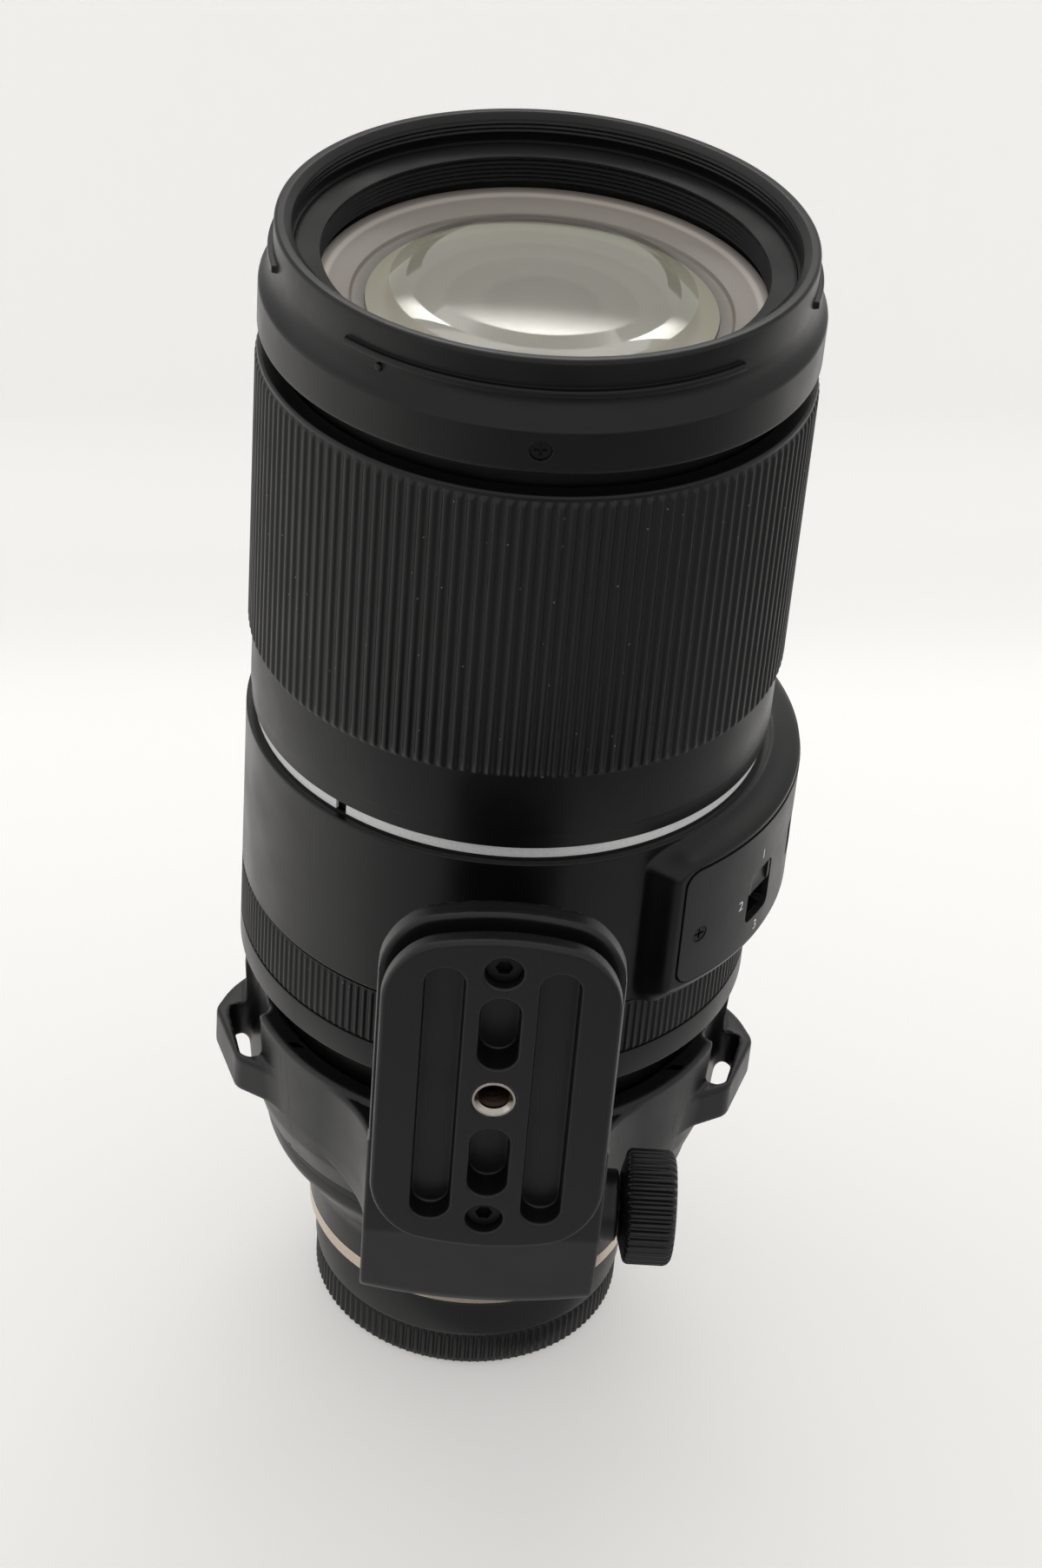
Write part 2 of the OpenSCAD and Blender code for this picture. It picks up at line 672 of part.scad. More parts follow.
module focus_cell() color("#202022") difference() {
    union() {
        ring(focus_cell_r, focus_glass_r, focus_cell_z, focus_cell_h);
        ring(focus_glass_r + 0.01, focus_glass_r - 1, focus_cell_z, 1);
        for (s = [-1, 1]) {
            translate([s * rod_pr, 0, focus_cell_z]) cylinder(r = 3, h = focus_cell_h, $fn = 48);
            translate([s * (rod_pr + focus_cell_r - 1.2) / 2, 0, focus_cell_z + focus_cell_h / 2])
                cube([rod_pr - focus_cell_r + 1.2, 4, focus_cell_h], center = true);
        }
        translate([-4, focus_cell_r - 1.2, focus_cell_z])
            cube([8, magnet_y - coil_half - focus_cell_r + 1.2, focus_cell_h]);
    }
    for (s = [-1, 1]) translate([s * rod_pr, 0, focus_cell_z - 1])
        cylinder(r = rod_r + pin_clear, h = focus_cell_h + 2, $fn = 32);
}

module focus_glass() color("#a6b8b4") glass(focus_glass_r, focus_cell_z + 1.6, 2.6, 1.2, 0.4);

module focus_coil() color("#a5682a") difference() {
    translate([0, magnet_y, focus_cell_z + focus_cell_h / 2])
        cube([9.4, 2 * coil_half, focus_cell_h], center = true);
    translate([0, magnet_y, focus_cell_z + focus_cell_h / 2])
        cube([6.8, 3.8, focus_cell_h + 2], center = true);
}

module stabiliser_base() color("#2b2b2e") difference() {
    ring(seat_in, stab_glass_r + 4, stabiliser_z, web_t);
    for (s = [-1, 1]) translate([s * rod_pr, 0, stabiliser_z - 1]) cylinder(r = rod_r, h = 2, $fn = 32);
    translate([0, magnet_y, stabiliser_z]) cube([6, 3, 2], center = true);
}

module stabiliser_slider() color("#39393c") {
    ring(seat_in - 8.8, stab_glass_r + 4, slider_z, 1.5);
    for (s = [-1, 1]) translate([0, s * (tongue_end - 2.5), slider_z + 0.75])
        cube([tongue_w, 5, 1.5], center = true);
}

module stabiliser_cell() color("#1d1d1f") {
    ring(stab_glass_r + 3, stab_glass_r, stab_cell_z, stab_cell_h);
    ring(stab_glass_r + 10, stab_glass_r + 2.5, stab_cell_z, 1.2);
}

module stabiliser_glass() color("#a6b8b4") glass(stab_glass_r, stab_cell_z + 0.4, 2, 0.9, 0.3);

module stabiliser_magnets() color("#8a8a8e") for (a = [90, 180])
    at_az(a) translate([stab_glass_r + 6.5, 0, stab_cell_z + 2.2]) cube([5, 12, 2], center = true);

module stabiliser_yoke() color("#a5682a") {
    ring(seat_in, stab_glass_r + 3, yoke_z, yoke_t);
    ring(seat_in, yoke_in, stabiliser_z + web_t, yoke_z - stabiliser_z - web_t);
    for (a = [90, 180]) at_az(a) translate([stab_glass_r + 6.5, 0, yoke_z - 0.1])
        cube([6, 13, 0.4], center = true);
}

module iris_base() color("#28282a") difference() {
    union() {
        ring(seat_in, iris_open_r, iris_z, iris_plate_t);
        ring(iris_rim_r + 2, iris_rim_r, iris_z, iris_ring_z + iris_ring_t - iris_z);
        ring(seat_in, yoke_in, yoke_z + yoke_t, iris_z - yoke_z - yoke_t);
    }
    for (i = [0:blade_count - 1]) at_az(360 / blade_count * i) translate([pivot_r, 0, iris_z - 1])
        cylinder(r = pivot_pin_r + pin_clear, h = iris_plate_t + 2, $fn = 32);
}

// Turning ring with a radial slot for each blade's drive pin
module iris_ring() color("#55565a") difference() {
    ring(iris_rim_r - seat_gap, iris_open_r + 0.6, iris_ring_z, iris_ring_t);
    for (i = [0:blade_count - 1]) at_az(360 / blade_count * i)
        translate([(drive_r + drive_low) / 2, 0, iris_ring_z - 1]) linear_extrude(iris_ring_t + 2)
            rotate(90) slot_outline(2 * (drive_pin_r + 0.2), drive_r - drive_low + 2 * drive_pin_r + 0.6);
}

// One crescent blade with a pivot pin below and a drive pin above
module iris_blade(i) color("#141415") {
    sweep = 75;
    level = blade_z + i * blade_pitch;
    ear_w = 3;
    at_az(360 / blade_count * i) {
        translate([0, 0, level]) {
            rotate([0, 0, -4]) rotate_extrude(angle = sweep)
                translate([iris_open_r + 0.4, 0]) square([blade_r - iris_open_r - 0.4, blade_t]);
            translate([blade_r - 1, -ear_w / 2, 0]) cube([drive_r - blade_r + 1, ear_w, blade_t]);
            translate([drive_r, 0, 0]) cylinder(r = ear_w / 2, h = blade_t, $fn = 48);
        }
        translate([pivot_r, 0, iris_z + 0.1])
            cylinder(r = pivot_pin_r, h = level - iris_z, $fn = 32);
        translate([drive_r, 0, level])
            cylinder(r = drive_pin_r, h = iris_ring_z + iris_ring_t - 0.1 - level, $fn = 32);
    }
}

// Zoom drive

module cam_sleeve() color("#4b4c50") difference() {
    ring(cam_r, cam_in, guide_z + seat_gap, cam_top - guide_z - seat_gap);
    for (a = follower_az) cam_cut(a, follower_z, zoom_travel);
    for (a = variator_az) cam_cut(a, variator_z, variator_travel);
    for (a = key_az) at_az(a) translate([cam_in - 1, -key_w / 2 - 0.1, key_z - lock_travel - 0.4])
        cube([cam_wall + 2, key_w + 0.2, key_h + lock_travel + 0.8]);
}

module zoom_ring() color("#242527") difference() {
    turned([[zoom_in, skirt_z], [skirt_r, skirt_z], [skirt_r, zoom_z + 3.2], [lip_in, zoom_z + 3.2],
        [lip_in, zoom_z], [zoom_r - 0.4, zoom_z], [zoom_r - 0.25, zoom_z + 0.15],
        [zoom_r - 0.25, zoom_z + 3], [zoom_r, zoom_z + 3.2],
        [zoom_r, zoom_z + zoom_band_h], [zoom_r - grip_seat, zoom_z + zoom_band_h],
        [zoom_r - grip_seat, zoom_top - 1], [zoom_r + 0.5, zoom_top - 1], [zoom_r + 0.5, zoom_top - 0.4],
        [zoom_r + 0.1, zoom_top], [zoom_in, zoom_top]]);
    for (a = key_az) at_az(a) translate([zoom_in - 1, -key_w / 2, key_z]) cube([3, key_w, key_h]);
}

module zoom_grip() color("#1a1a1b") translate([0, 0, zoom_z + zoom_band_h]) difference() {
    linear_extrude(zoom_h - zoom_band_h - 1) rib_outline(grip_r - 0.6, grip_r, grip_ribs, 0.36, 0.28);
    translate([0, 0, -1]) cylinder(r = zoom_r - grip_seat, h = zoom_h, $fn = 480);
}

module zoom_keys() color("#9a9a9d") for (a = key_az)
    at_az(a) translate([cam_in + 0.3, -key_w / 2, key_z]) cube([skirt_r - cam_in - 0.8, key_w, key_h]);

// Front barrel

module front_tube() color("#2c2d30") difference() {
    ring(tube_r, tube_in, tube_z, front_z + 6.6 - tube_z);
    for (a = follower_az) radial_pin(a, follower_z, follower_r, tube_in - 1, tube_r + 1);
    for (i = [0:2]) radial_pin(120 * i, front_z + 4.1, 0.8, tube_in - 1, tube_r + 1);
}

module cam_followers() color("#b8a06a") for (a = follower_az)
    radial_pin(a, follower_z, follower_r, cam_in + 0.3, tube_r - 0.2);

module front_ring() color("#232426") {
    shoulder = 0.3;
    flare_run = front_h - band_h - 6.4;
    flare_rise = band_r - shoulder - rim_r;
    flare_turn = 2 * atan(flare_rise / flare_run);
    flare_r = flare_run / sin(flare_turn);
    neck_z = front_z + band_h + flare_run;
    thread_z = front_top - 0.9 - filter_l;
    ledge_z = front_z + 6.6;
    hood_z = front_top - 6.1;
    difference() {
        union() {
            turned(concat(
                [[tube_r, front_z], [band_r - 0.4, front_z], [band_r, front_z + 0.4],
                 [band_r, front_z + band_h - shoulder]],
                arc(rim_r + flare_r, neck_z, flare_r, 180 + flare_turn, 180, 10),
                [[rim_r, front_top - 0.4], [rim_r - 0.4, front_top], [filter_r + 1.3, front_top],
                 [filter_r, front_top - 0.9], [filter_r, thread_z], [tube_in, thread_z],
                 [tube_in, ledge_z], [tube_r, ledge_z]]));
            for (i = [0:2]) sector(rim_r + hood_reach, rim_r - 0.5, hood_z, 1.4, 120 * i - 44, 120 * i + 44);
            for (i = [0:2]) radial_pin(120 * i - 35, hood_z - 1.2, 0.7, rim_r - 0.5, rim_r + 0.7);
        }
        for (i = [0:2]) {
            radial_pin(120 * i, front_z + 4.1, 1.7, band_r - 0.9, band_r + 1);
            radial_pin(120 * i, front_z + 4.1, 0.8, tube_in - 1, band_r);
        }
    }
}

module bezel_screws() color("#171718") for (i = [0:2]) difference() {
    union() {
        radial_pin(120 * i, front_z + 4.1, 1.7, band_r - 0.9, band_r - 0.35);
        radial_pin(120 * i, front_z + 4.1, 0.8, tube_in, band_r - 0.9);
    }
    at_az(120 * i) translate([band_r - 0.2, 0, front_z + 4.1])
        for (w = [[2, 0.4], [0.4, 2]]) cube([1, w[0], w[1]], center = true);
}

module front_cell() color("#19191a") turned([[cell_r - 2.8, glass_z - 10], [cell_r, glass_z - 10],
    [cell_r, glass_z - cell_floor], [tube_in, glass_z - cell_floor], [tube_in, trim_seat],
    [glass_r, trim_seat], [glass_r, glass_z], [cell_r - 2.8, glass_z]]);

module front_glass() color("#8fa39b") glass(glass_r, glass_z, glass_edge, glass_sag, -1.2);

// Bare ring that holds the front glass, with a stepped light trap below its lip
module front_trim_ring() color("#202022") {
    steps = 5;
    rim_sag = sqrt(glass_curve * glass_curve - trim_r * trim_r)
        - sqrt(glass_curve * glass_curve - glass_r * glass_r);
    low = glass_z + glass_edge + rim_sag + 0.1;
    step_h = (trim_inner_z - 0.6 - low) / steps;
    turned(concat([[tube_in, trim_seat], [tube_in, trim_top], [tube_in - 1, trim_top],
        [trim_r, trim_inner_z]],
        [for (i = [0:steps - 1]) for (p = [[trim_r, 0], [trim_r + 0.5, step_h]])
            [p[0], trim_inner_z - 0.6 - i * step_h - p[1]]],
        [[glass_r - 0.1, low], [glass_r - 0.1, trim_seat]]));
}

module variator_cell() color("#1d1d1f") difference() {
    turned([[group_glass_r + 6, variator_z - 5], [group_glass_r + 8, variator_z - 5],
        [group_glass_r + 8, variator_z - 3], [cell_r, variator_z - 3], [cell_r, variator_z + 3],
        [group_glass_r + 8, variator_z + 3], [group_glass_r + 8, variator_z + 5],
        [group_glass_r + 5, variator_z + 5], [group_glass_r + 5, variator_z + 4],
        [group_glass_r + 6, variator_z + 4]]);
    for (a = variator_az) radial_pin(a, variator_z, follower_r, cell_r - 4, cell_r + 1);
}

module variator_followers() color("#b8a06a") for (a = variator_az)
    radial_pin(a, variator_z, follower_r, cell_r - 4, guide_r - 0.2);

module variator_glass() color("#a6b8b4") glass(group_glass_r + 6, variator_z - 4, 6, 1, 0.9);

// Focus ring

module focus_ring() color("#232426") turned([[seat_r + run_gap, focus_z], [barrel_r - 0.3, focus_z],
    [barrel_r, focus_z + 0.3], [barrel_r, focus_z + focus_band_h], [barrel_r - 1.3, focus_z + focus_band_h],
    [barrel_r - 1.3, focus_top], [seat_r + run_gap, focus_top], [seat_r + run_gap, focus_top - 2],
    [seat_r + 2.2, focus_top - 3], [seat_r + 2.2, focus_z + 3], [seat_r + run_gap, focus_z + 2]]);

module focus_grip() color("#1a1a1b") translate([0, 0, focus_z + focus_band_h]) difference() {
    linear_extrude(focus_h - focus_band_h) rib_outline(barrel_r - 0.5, barrel_r, focus_ribs, 0.4, 0.3);
    translate([0, 0, -1]) cylinder(r = barrel_r - 1.3, h = focus_h, $fn = 480);
}

// Tripod collar

// Plan of the collar ring with its neck blended in
module neck_plan() {
    half = neck_w / 2;
    fx = half + neck_fillet;
    fy = sqrt(pow(collar_r + neck_fillet, 2) - fx * fx);
    touch = collar_r / (collar_r + neck_fillet);
    difference() {
        polygon([[-fx * touch, -fy * touch], [-fx * touch, 0], [fx * touch, 0], [fx * touch, -fy * touch],
            [half, -fy], [half, -arm_d - 1], [-half, -arm_d - 1], [-half, -fy]]);
        for (s = [-1, 1]) translate([s * fx, -fy]) circle(r = neck_fillet);
    }
}

// Side of the neck and the arm, as distance from the axis and height
module neck_side() {
    fillet = 8;
    arm_top = foot_z + pad_l / 2 + arm_over;
    neck_top = collar_top - 1;
    low = collar_z + 3.5;
    polygon(concat([[0, collar_z - 2]], arc(arm_back - 5, low + 3.2, 4, -90, -12, 6),
        [[arm_d, foot_z - pad_l / 2 - 3], [arm_d, arm_top - 1.2], [arm_d - 1.2, arm_top],
         [arm_back + 1.2, arm_top], [arm_back, arm_top - 1.2]],
        arc(arm_back - fillet, neck_top + fillet, fillet, 0, -90, 8), [[0, neck_top]]));
}

// Round body whose underside bows the bottom of the neck, rising towards the arm
module neck_underside() {
    bow_r = (neck_w * neck_w / 4 + neck_bow * neck_bow) / (2 * neck_bow);
    rise = atan(3.5 / (arm_back - 5));
    translate([0, 0, collar_z - 0.3]) rotate([90 - rise, 0, 0]) translate([0, 0, -10])
        linear_extrude(arm_d + 30)
            polygon(concat(arc(0, bow_r, bow_r, -125, -55, 14), [[50, 140], [-50, 140]]));
}

// Outline of the pad or the arm: straight sides, bowed ends and round corners that meet both
module bowed_outline(w, l, corner) {
    cx = w / 2 - corner;
    bow_y = l / 2 - pad_bow;
    cy = bow_y + sqrt(pow(pad_bow - corner, 2) - cx * cx);
    meet = atan2(cy - bow_y, cx);
    inset = 3;
    end = concat(arc(cx, cy, corner, 0, meet, 8), arc(0, bow_y, pad_bow, meet + inset, 180 - meet - inset, 8),
        arc(-cx, cy, corner, 180 - meet, 180, 8));
    polygon(concat(end, [for (p = end) -p]));
}

// Lays an outline drawn as width and height onto a plane facing -Y
module facing_foot(d, t) translate([0, -d + t, foot_z]) rotate([90, 0, 0]) linear_extrude(t) children();

// One strap lug: a bar outside the ring, tapering in below
module strap_lug() {
    bar = lug_r - 0.2;
    span = [[-16, collar_r - 1], [-16, collar_r], [-9, bar - 1.2], [8, bar], [15, collar_r + 2.4],
        [21, collar_r], [21, collar_r - 1]];
    intersection() {
        at_az(lug_az) translate([0, 0, collar_z]) linear_extrude(lug_rise)
            polygon(concat([[30, 12], [30, -10]], [for (p = span) [p[1] * cos(p[0]), p[1] * sin(p[0])]]));
        turned([[20, collar_z], [collar_low_r - 1.5, collar_z + 1], [lug_r - 1.6, lug_z - 6],
            [lug_r, lug_z - 1], [lug_r, lug_z], [20, lug_z]]);
    }
}

module tripod_collar() color("#2a2b2e") difference() {
    union() {
        turned([[20, collar_z], [collar_low_r - 2, collar_z], [collar_low_r, collar_z + collar_chamfer],
            [collar_r, collar_top - 0.6], [collar_r - 0.6, collar_top], [20, collar_top]]);
        intersection() {
            translate([0, 0, collar_z]) linear_extrude(collar_h + pad_l + 20) neck_plan();
            rotate([90, 0, -90]) translate([0, 0, -neck_w]) linear_extrude(2 * neck_w) neck_side();
            neck_underside();
            union() {
                translate([-60, -arm_back, 0]) cube([120, 120, 200]);
                translate([-60, -120, 0]) cube([120, 120, foot_z]);
                facing_foot(arm_d, arm_t + 20) bowed_outline(pad_w + 2 * arm_over, pad_l + 2 * arm_over,
                    pad_corner);
            }
        }
        for (s = [0, 1]) mirror([s, 0, 0]) strap_lug();
        translate([neck_w / 2 - 4, -knob_d, knob_z]) rotate([0, 90, 0])
            cylinder(r = 6.4, h = knob_x - 0.4 - neck_w / 2 + 4);
    }
    translate([0, 0, collar_z - 1]) cylinder(r = collar_bore, h = collar_h + 2);
    for (s = [0, 1]) mirror([s, 0, 0]) at_az(lug_az) translate([strap_mid_r, 0, collar_z - 1])
        linear_extrude(collar_h + 2) rounded(strap_w, strap_l, 2);
    translate([slit_x, -arm_back + 4, collar_z - 1]) cube([slit_w, arm_back - 4, collar_h + 12]);
    translate([-2, -knob_d, knob_z]) rotate([0, 90, 0]) cylinder(r = stud_r + pin_clear, h = knob_x + 4);
    translate([0, -arm_d, foot_z]) rotate([-90, 0, 0]) translate([0, 0, -1])
        cylinder(r = bush_r, h = bush_l - pad_t + 1);
    for (s = [-1, 1]) translate([0, -arm_d, foot_z + s * foot_screw_z]) rotate([-90, 0, 0])
        translate([0, 0, -1]) cylinder(r = screw_hole_r, h = arm_t, $fn = 32);
}

module collar_liner() color("#4d4a45") difference() {
    ring(collar_bore, collar_bore - liner_t, collar_z + 1, collar_h - 2);
    translate([slit_x, -collar_bore - 5, collar_z]) cube([slit_w, collar_bore + 5, collar_h]);
}

module tripod_foot() color("#2c2d30") difference() {
    union() {
        facing_foot(foot_d, pad_t / 2) bowed_outline(pad_w, pad_l, pad_corner);
        facing_foot(foot_d - pad_t / 2, pad_t / 2)
            bowed_outline(dovetail_w, pad_l - pad_w + dovetail_w, pad_corner - 2);
    }
    for (s = [-1, 1]) {
        facing_foot(foot_d + 1, slot_depth + 1) translate([s * long_slot_x, 0])
            slot_outline(slot_w, long_slot_l);
        facing_foot(foot_d + 1, slot_depth + 1) translate([0, s * short_slot_z])
            slot_outline(slot_w, short_slot_l);
        facing_foot(foot_d + 1, slot_depth + 1) translate([0, s * foot_screw_z]) circle(r = counterbore_r);
        facing_foot(foot_d + 1, pad_t + 2) translate([0, s * foot_screw_z]) circle(r = screw_hole_r);
    }
    facing_foot(foot_d + 1, pad_t + 2) circle(r = bush_r);
}

module foot_screws() color("#1b1b1c") for (s = [-1, 1])
    translate([0, 0, s * foot_screw_z]) difference() {
        union() {
            facing_foot(foot_d - slot_depth + 1.8, 1.8) circle(r = counterbore_r - 0.2);
            facing_foot(foot_d - slot_depth, pad_t + arm_t - slot_depth - 1.2) circle(r = screw_hole_r);
        }
        facing_foot(foot_d - slot_depth + 2, 1.6) circle(r = 1.45, $fn = 6);
    }

module tripod_bush() color("#a8a49c") difference() {
    facing_foot(foot_d - 0.15, bush_l - 0.15) circle(r = bush_r);
    facing_foot(foot_d + 1, bush_l) circle(r = thread_r);
}

module clamp_knob() color("#19191a") {
    chamfer = 1.2;
    cone = 1;
    translate([knob_x, -knob_d, knob_z]) rotate([0, 90, 0]) {
        intersection() {
            linear_extrude(knob_l) rib_outline(knob_r - 0.7, knob_r, knob_ribs, 0.4, 0.3);
            rotate_extrude() polygon([[0, 0], [6, 0], [knob_r - 0.9, cone], [knob_r + 0.1, cone + 0.8],
                [knob_r + 0.1, knob_l - chamfer], [knob_r - chamfer, knob_l], [0, knob_l]]);
        }
        translate([0, 0, -knob_x]) cylinder(r = stud_r, h = knob_x + 1);
    }
}

// Rear cap

module rear_cap() color("#1e1e20") {
    cap_in = cap_r - cap_wall;
    rib_depth = 0.6;
    grip_z = 0.8;
    difference() {
        union() {
            turned([[0, 0], [cap_r - 1.6, 0], [cap_r - 0.9, grip_z], [cap_r - 0.9, cap_grip_h + grip_z],
                [cap_r - 0.2, cap_grip_h + grip_z + 0.7], [cap_r, cap_grip_h + 2.2], [cap_r, cap_h - 0.5],
                [cap_r - 0.5, cap_h], [0, cap_h]]);
            translate([0, 0, grip_z]) linear_extrude(cap_grip_h)
                rib_outline(cap_r - 0.9, cap_r - 0.9 + rib_depth, cap_ribs, 0.34, 0.3);
        }
        translate([0, 0, cap_floor]) cylinder(r = cap_in, h = cap_h);
    }
    tab_z = flange_z - bayonet_l + tab_t + seat_gap;
    for (i = [0:2]) sector(cap_in + 0.3, bayonet_r + seat_gap, tab_z, tab_t,
        120 * i - tab_arc / 2, 120 * i + tab_arc / 2);
}

main_barrel();
switch_plate();
switch_plate_screws();
lock_mark_ring();
seat_barrel();
guide_tube();
rear_barrel();
mount_flange();
mount_screws();
contact_block();
rear_cell();
rear_glass();
circuit_board();
focus_rods();
focus_magnet();
stabiliser_base();
stabiliser_yoke();
iris_base();
switch_knob(0);  // mode_switch
switch_knob(1);  // stabiliser_switch
switch_knob(2);  // focus_switch
switch_knob(3);  // limiter_switch
cam_sleeve();
zoom_ring();
zoom_grip();
zoom_keys();
front_tube();
front_ring();
front_trim_ring();
front_cell();
front_glass();
bezel_screws();
cam_followers();
variator_cell();
variator_glass();
variator_followers();
focus_ring();
focus_grip();
focus_cell();
focus_glass();
focus_coil();
stabiliser_slider();
stabiliser_cell();
stabiliser_glass();
stabiliser_magnets();
iris_ring();
iris_blade(0);  // iris_blade_1
iris_blade(1);  // iris_blade_2
iris_blade(2);  // iris_blade_3
iris_blade(3);  // iris_blade_4
iris_blade(4);  // iris_blade_5
iris_blade(5);  // iris_blade_6
iris_blade(6);  // iris_blade_7
tripod_collar();
tripod_foot();
foot_screws();
tripod_bush();
collar_liner();
clamp_knob();
rear_cap();
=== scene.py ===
"""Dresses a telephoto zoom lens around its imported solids.

Lengths of the lens are millimetres, as in the part's source; meshes and the studio are in metres.
Azimuths are degrees from -Y, where the tripod foot is, towards +X, where the switches are.
The end of a name says what a value is: _z a height on the optical axis, _r a radius, _az an azimuth, _d a
distance from the axis towards the foot, _h, _l, _w and _t the height, length, width and thickness of a
feature, _half half of a width, and _edge, _round, _corner and _fillet the radius of a rounded edge or corner.
"""

from __future__ import annotations

import json
import logging
import math
from dataclasses import dataclass
from enum import Enum
from typing import Callable, Sequence

import bmesh
import bpy
import numpy as np
from mathutils import Matrix, Vector

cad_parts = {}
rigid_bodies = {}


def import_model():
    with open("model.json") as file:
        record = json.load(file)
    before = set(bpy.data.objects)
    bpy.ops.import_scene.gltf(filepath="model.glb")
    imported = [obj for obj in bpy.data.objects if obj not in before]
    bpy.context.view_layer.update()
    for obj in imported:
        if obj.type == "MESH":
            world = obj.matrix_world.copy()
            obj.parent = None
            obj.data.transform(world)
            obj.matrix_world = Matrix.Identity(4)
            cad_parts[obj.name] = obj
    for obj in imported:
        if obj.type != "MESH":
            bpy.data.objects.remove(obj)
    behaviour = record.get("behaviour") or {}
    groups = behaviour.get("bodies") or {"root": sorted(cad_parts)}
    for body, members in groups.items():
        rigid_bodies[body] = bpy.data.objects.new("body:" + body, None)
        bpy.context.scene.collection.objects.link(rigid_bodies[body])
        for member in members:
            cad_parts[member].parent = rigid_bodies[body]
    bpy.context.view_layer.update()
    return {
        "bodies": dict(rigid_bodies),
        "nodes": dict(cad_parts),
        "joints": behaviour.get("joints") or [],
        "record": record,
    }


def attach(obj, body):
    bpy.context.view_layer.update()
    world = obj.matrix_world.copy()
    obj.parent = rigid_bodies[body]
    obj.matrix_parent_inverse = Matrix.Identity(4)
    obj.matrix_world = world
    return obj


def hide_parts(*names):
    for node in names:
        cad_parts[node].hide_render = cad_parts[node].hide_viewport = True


MM = 0.001
MERGE_M = 1e-6
NO_ARC_MM = 1e-4
ARC_ROOM = 0.49
SLIDES = 3
PROBE_SHARE = 0.02
LEAST_SLOPE = 0.2
THIRDS = (0.0, 120.0, 240.0)
DUST_CELL_MM = 3.2
DUST_SPECK = 0.05
DUST_COVER = 0.45
GRAIN_SHADES = (0.8, 1.2)
GLOSS_SPREAD = 0.05
DEEP_MM = -9.0
RIB_SQUARE = 1.5
RIB_EASE = 0.6
Array = np.ndarray
log = logging.getLogger("zoom_lens")


class Body(Enum):
    """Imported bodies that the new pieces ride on."""

    BARREL = "barrel"
    ZOOM = "zoom_ring"
    FRONT = "front_barrel"
    FOCUS = "focus_ring"
    COLLAR = "tripod_collar"
    KNOB = "clamp_knob"
    CAP = "rear_cap"


class Axis(Enum):
    """Axes that a profile turns about: where azimuth 90 points, where 0 points, and the axis itself."""

    OPTICAL = ((1, 0, 0), (0, -1, 0), (0, 0, 1))
    KNOB = ((0, 1, 0), (0, 0, 1), (1, 0, 0))
    FOOT = ((1, 0, 0), (0, 0, 1), (0, -1, 0))


# Surfaces worked out with numpy


@dataclass
class Shell:
    """A surface of quads, with its points in millimetres."""

    points: Array
    quads: Array


def grid_shell(points: Array, wrap_rows: bool, wrap_cols: bool) -> Shell:
    """Joins a grid of points into quads.

    Args:
        points: Grid of rows, columns and coordinates.
        wrap_rows: Whether the last row joins the first.
        wrap_cols: Whether the last column joins the first.

    Returns:
        The surface.
    """
    rows, cols = points.shape[:2]
    i = np.arange(rows if wrap_rows else rows - 1)[:, None]
    j = np.arange(cols if wrap_cols else cols - 1)[None, :]
    i_next, j_next = (i + 1) % rows, (j + 1) % cols
    corners = (i * cols + j, i * cols + j_next, i_next * cols + j_next, i_next * cols + j)
    return Shell(points.reshape(-1, 3), np.stack(corners, axis=-1).reshape(-1, 4))


def spin(
    radius: Array,
    along: Array,
    azimuth: Array,
    axis: Axis = Axis.OPTICAL,
    origin: Sequence[float] = (0, 0, 0),
) -> Array:
    """Carries a profile round an axis.

    A point is the radius times the two directions across the axis, turned by the azimuth, plus its
    distance along the axis.

    Args:
        radius: Radius of each profile point, or of each profile point at each azimuth.
        along: Distance of each profile point along the axis.
        azimuth: Azimuths in degrees.
        axis: Axis to turn about.
        origin: Point on the axis that distances start from.

    Returns:
        Grid of points.
    """
    side, front, ahead = (np.array(v, float) for v in axis.value)
    turn = np.radians(azimuth)[None, :, None]
    r = (radius if radius.ndim == 2 else radius[:, None])[..., None]
    h = along[:, None, None]
    return r * (np.sin(turn) * side + np.cos(turn) * front) + h * ahead + np.array(origin, float)


def turned(profile: Array, step: float) -> Shell:
    """Turns a closed profile of radius and height round the optical axis, in steps of so many degrees."""
    return grid_shell(spin(profile[:, 0], profile[:, 1], np.arange(0, 360, step)), True, True)


def fillet(corners: Sequence[tuple[float, float, float]], steps: int = 6) -> Array:
    """Rounds the corners of a closed profile.

    Each corner is replaced by an arc that touches its two sides, as long as they have room for it.

    Args:
        corners: Radius, height and fillet radius of each corner.
        steps: Segments in each arc.

    Returns:
        Points of the rounded profile.
    """
    data = np.array(corners, float)
    points, radii = data[:, :2], data[:, 2]
    pieces = []
    for i, (corner, r) in enumerate(zip(points, radii)):
        back, ahead = points[i - 1] - corner, points[(i + 1) % len(points)] - corner
        back_l, ahead_l = np.linalg.norm(back), np.linalg.norm(ahead)
        back, ahead = back / back_l, ahead / ahead_l
        half = math.acos(float(np.clip(back @ ahead, -1, 1))) / 2
        reach = min(r / math.tan(half), ARC_ROOM * back_l, ARC_ROOM * ahead_l) if r else 0.0
        if reach < NO_ARC_MM:
            pieces.append(corner[None, :])
            continue
        r = reach * math.tan(half)
        centre = corner + (back + ahead) / np.linalg.norm(back + ahead) * r / math.sin(half)
        start, end = corner + back * reach - centre, corner + ahead * reach - centre
        sweep = math.atan2(start[0] * end[1] - start[1] * end[0], start @ end)
        turn = np.linspace(0, sweep, steps + 1)[:, None]
        normal = np.array([-start[1], start[0]])
        pieces.append(centre + np.cos(turn) * start + np.sin(turn) * normal)
    return np.concatenate(pieces)


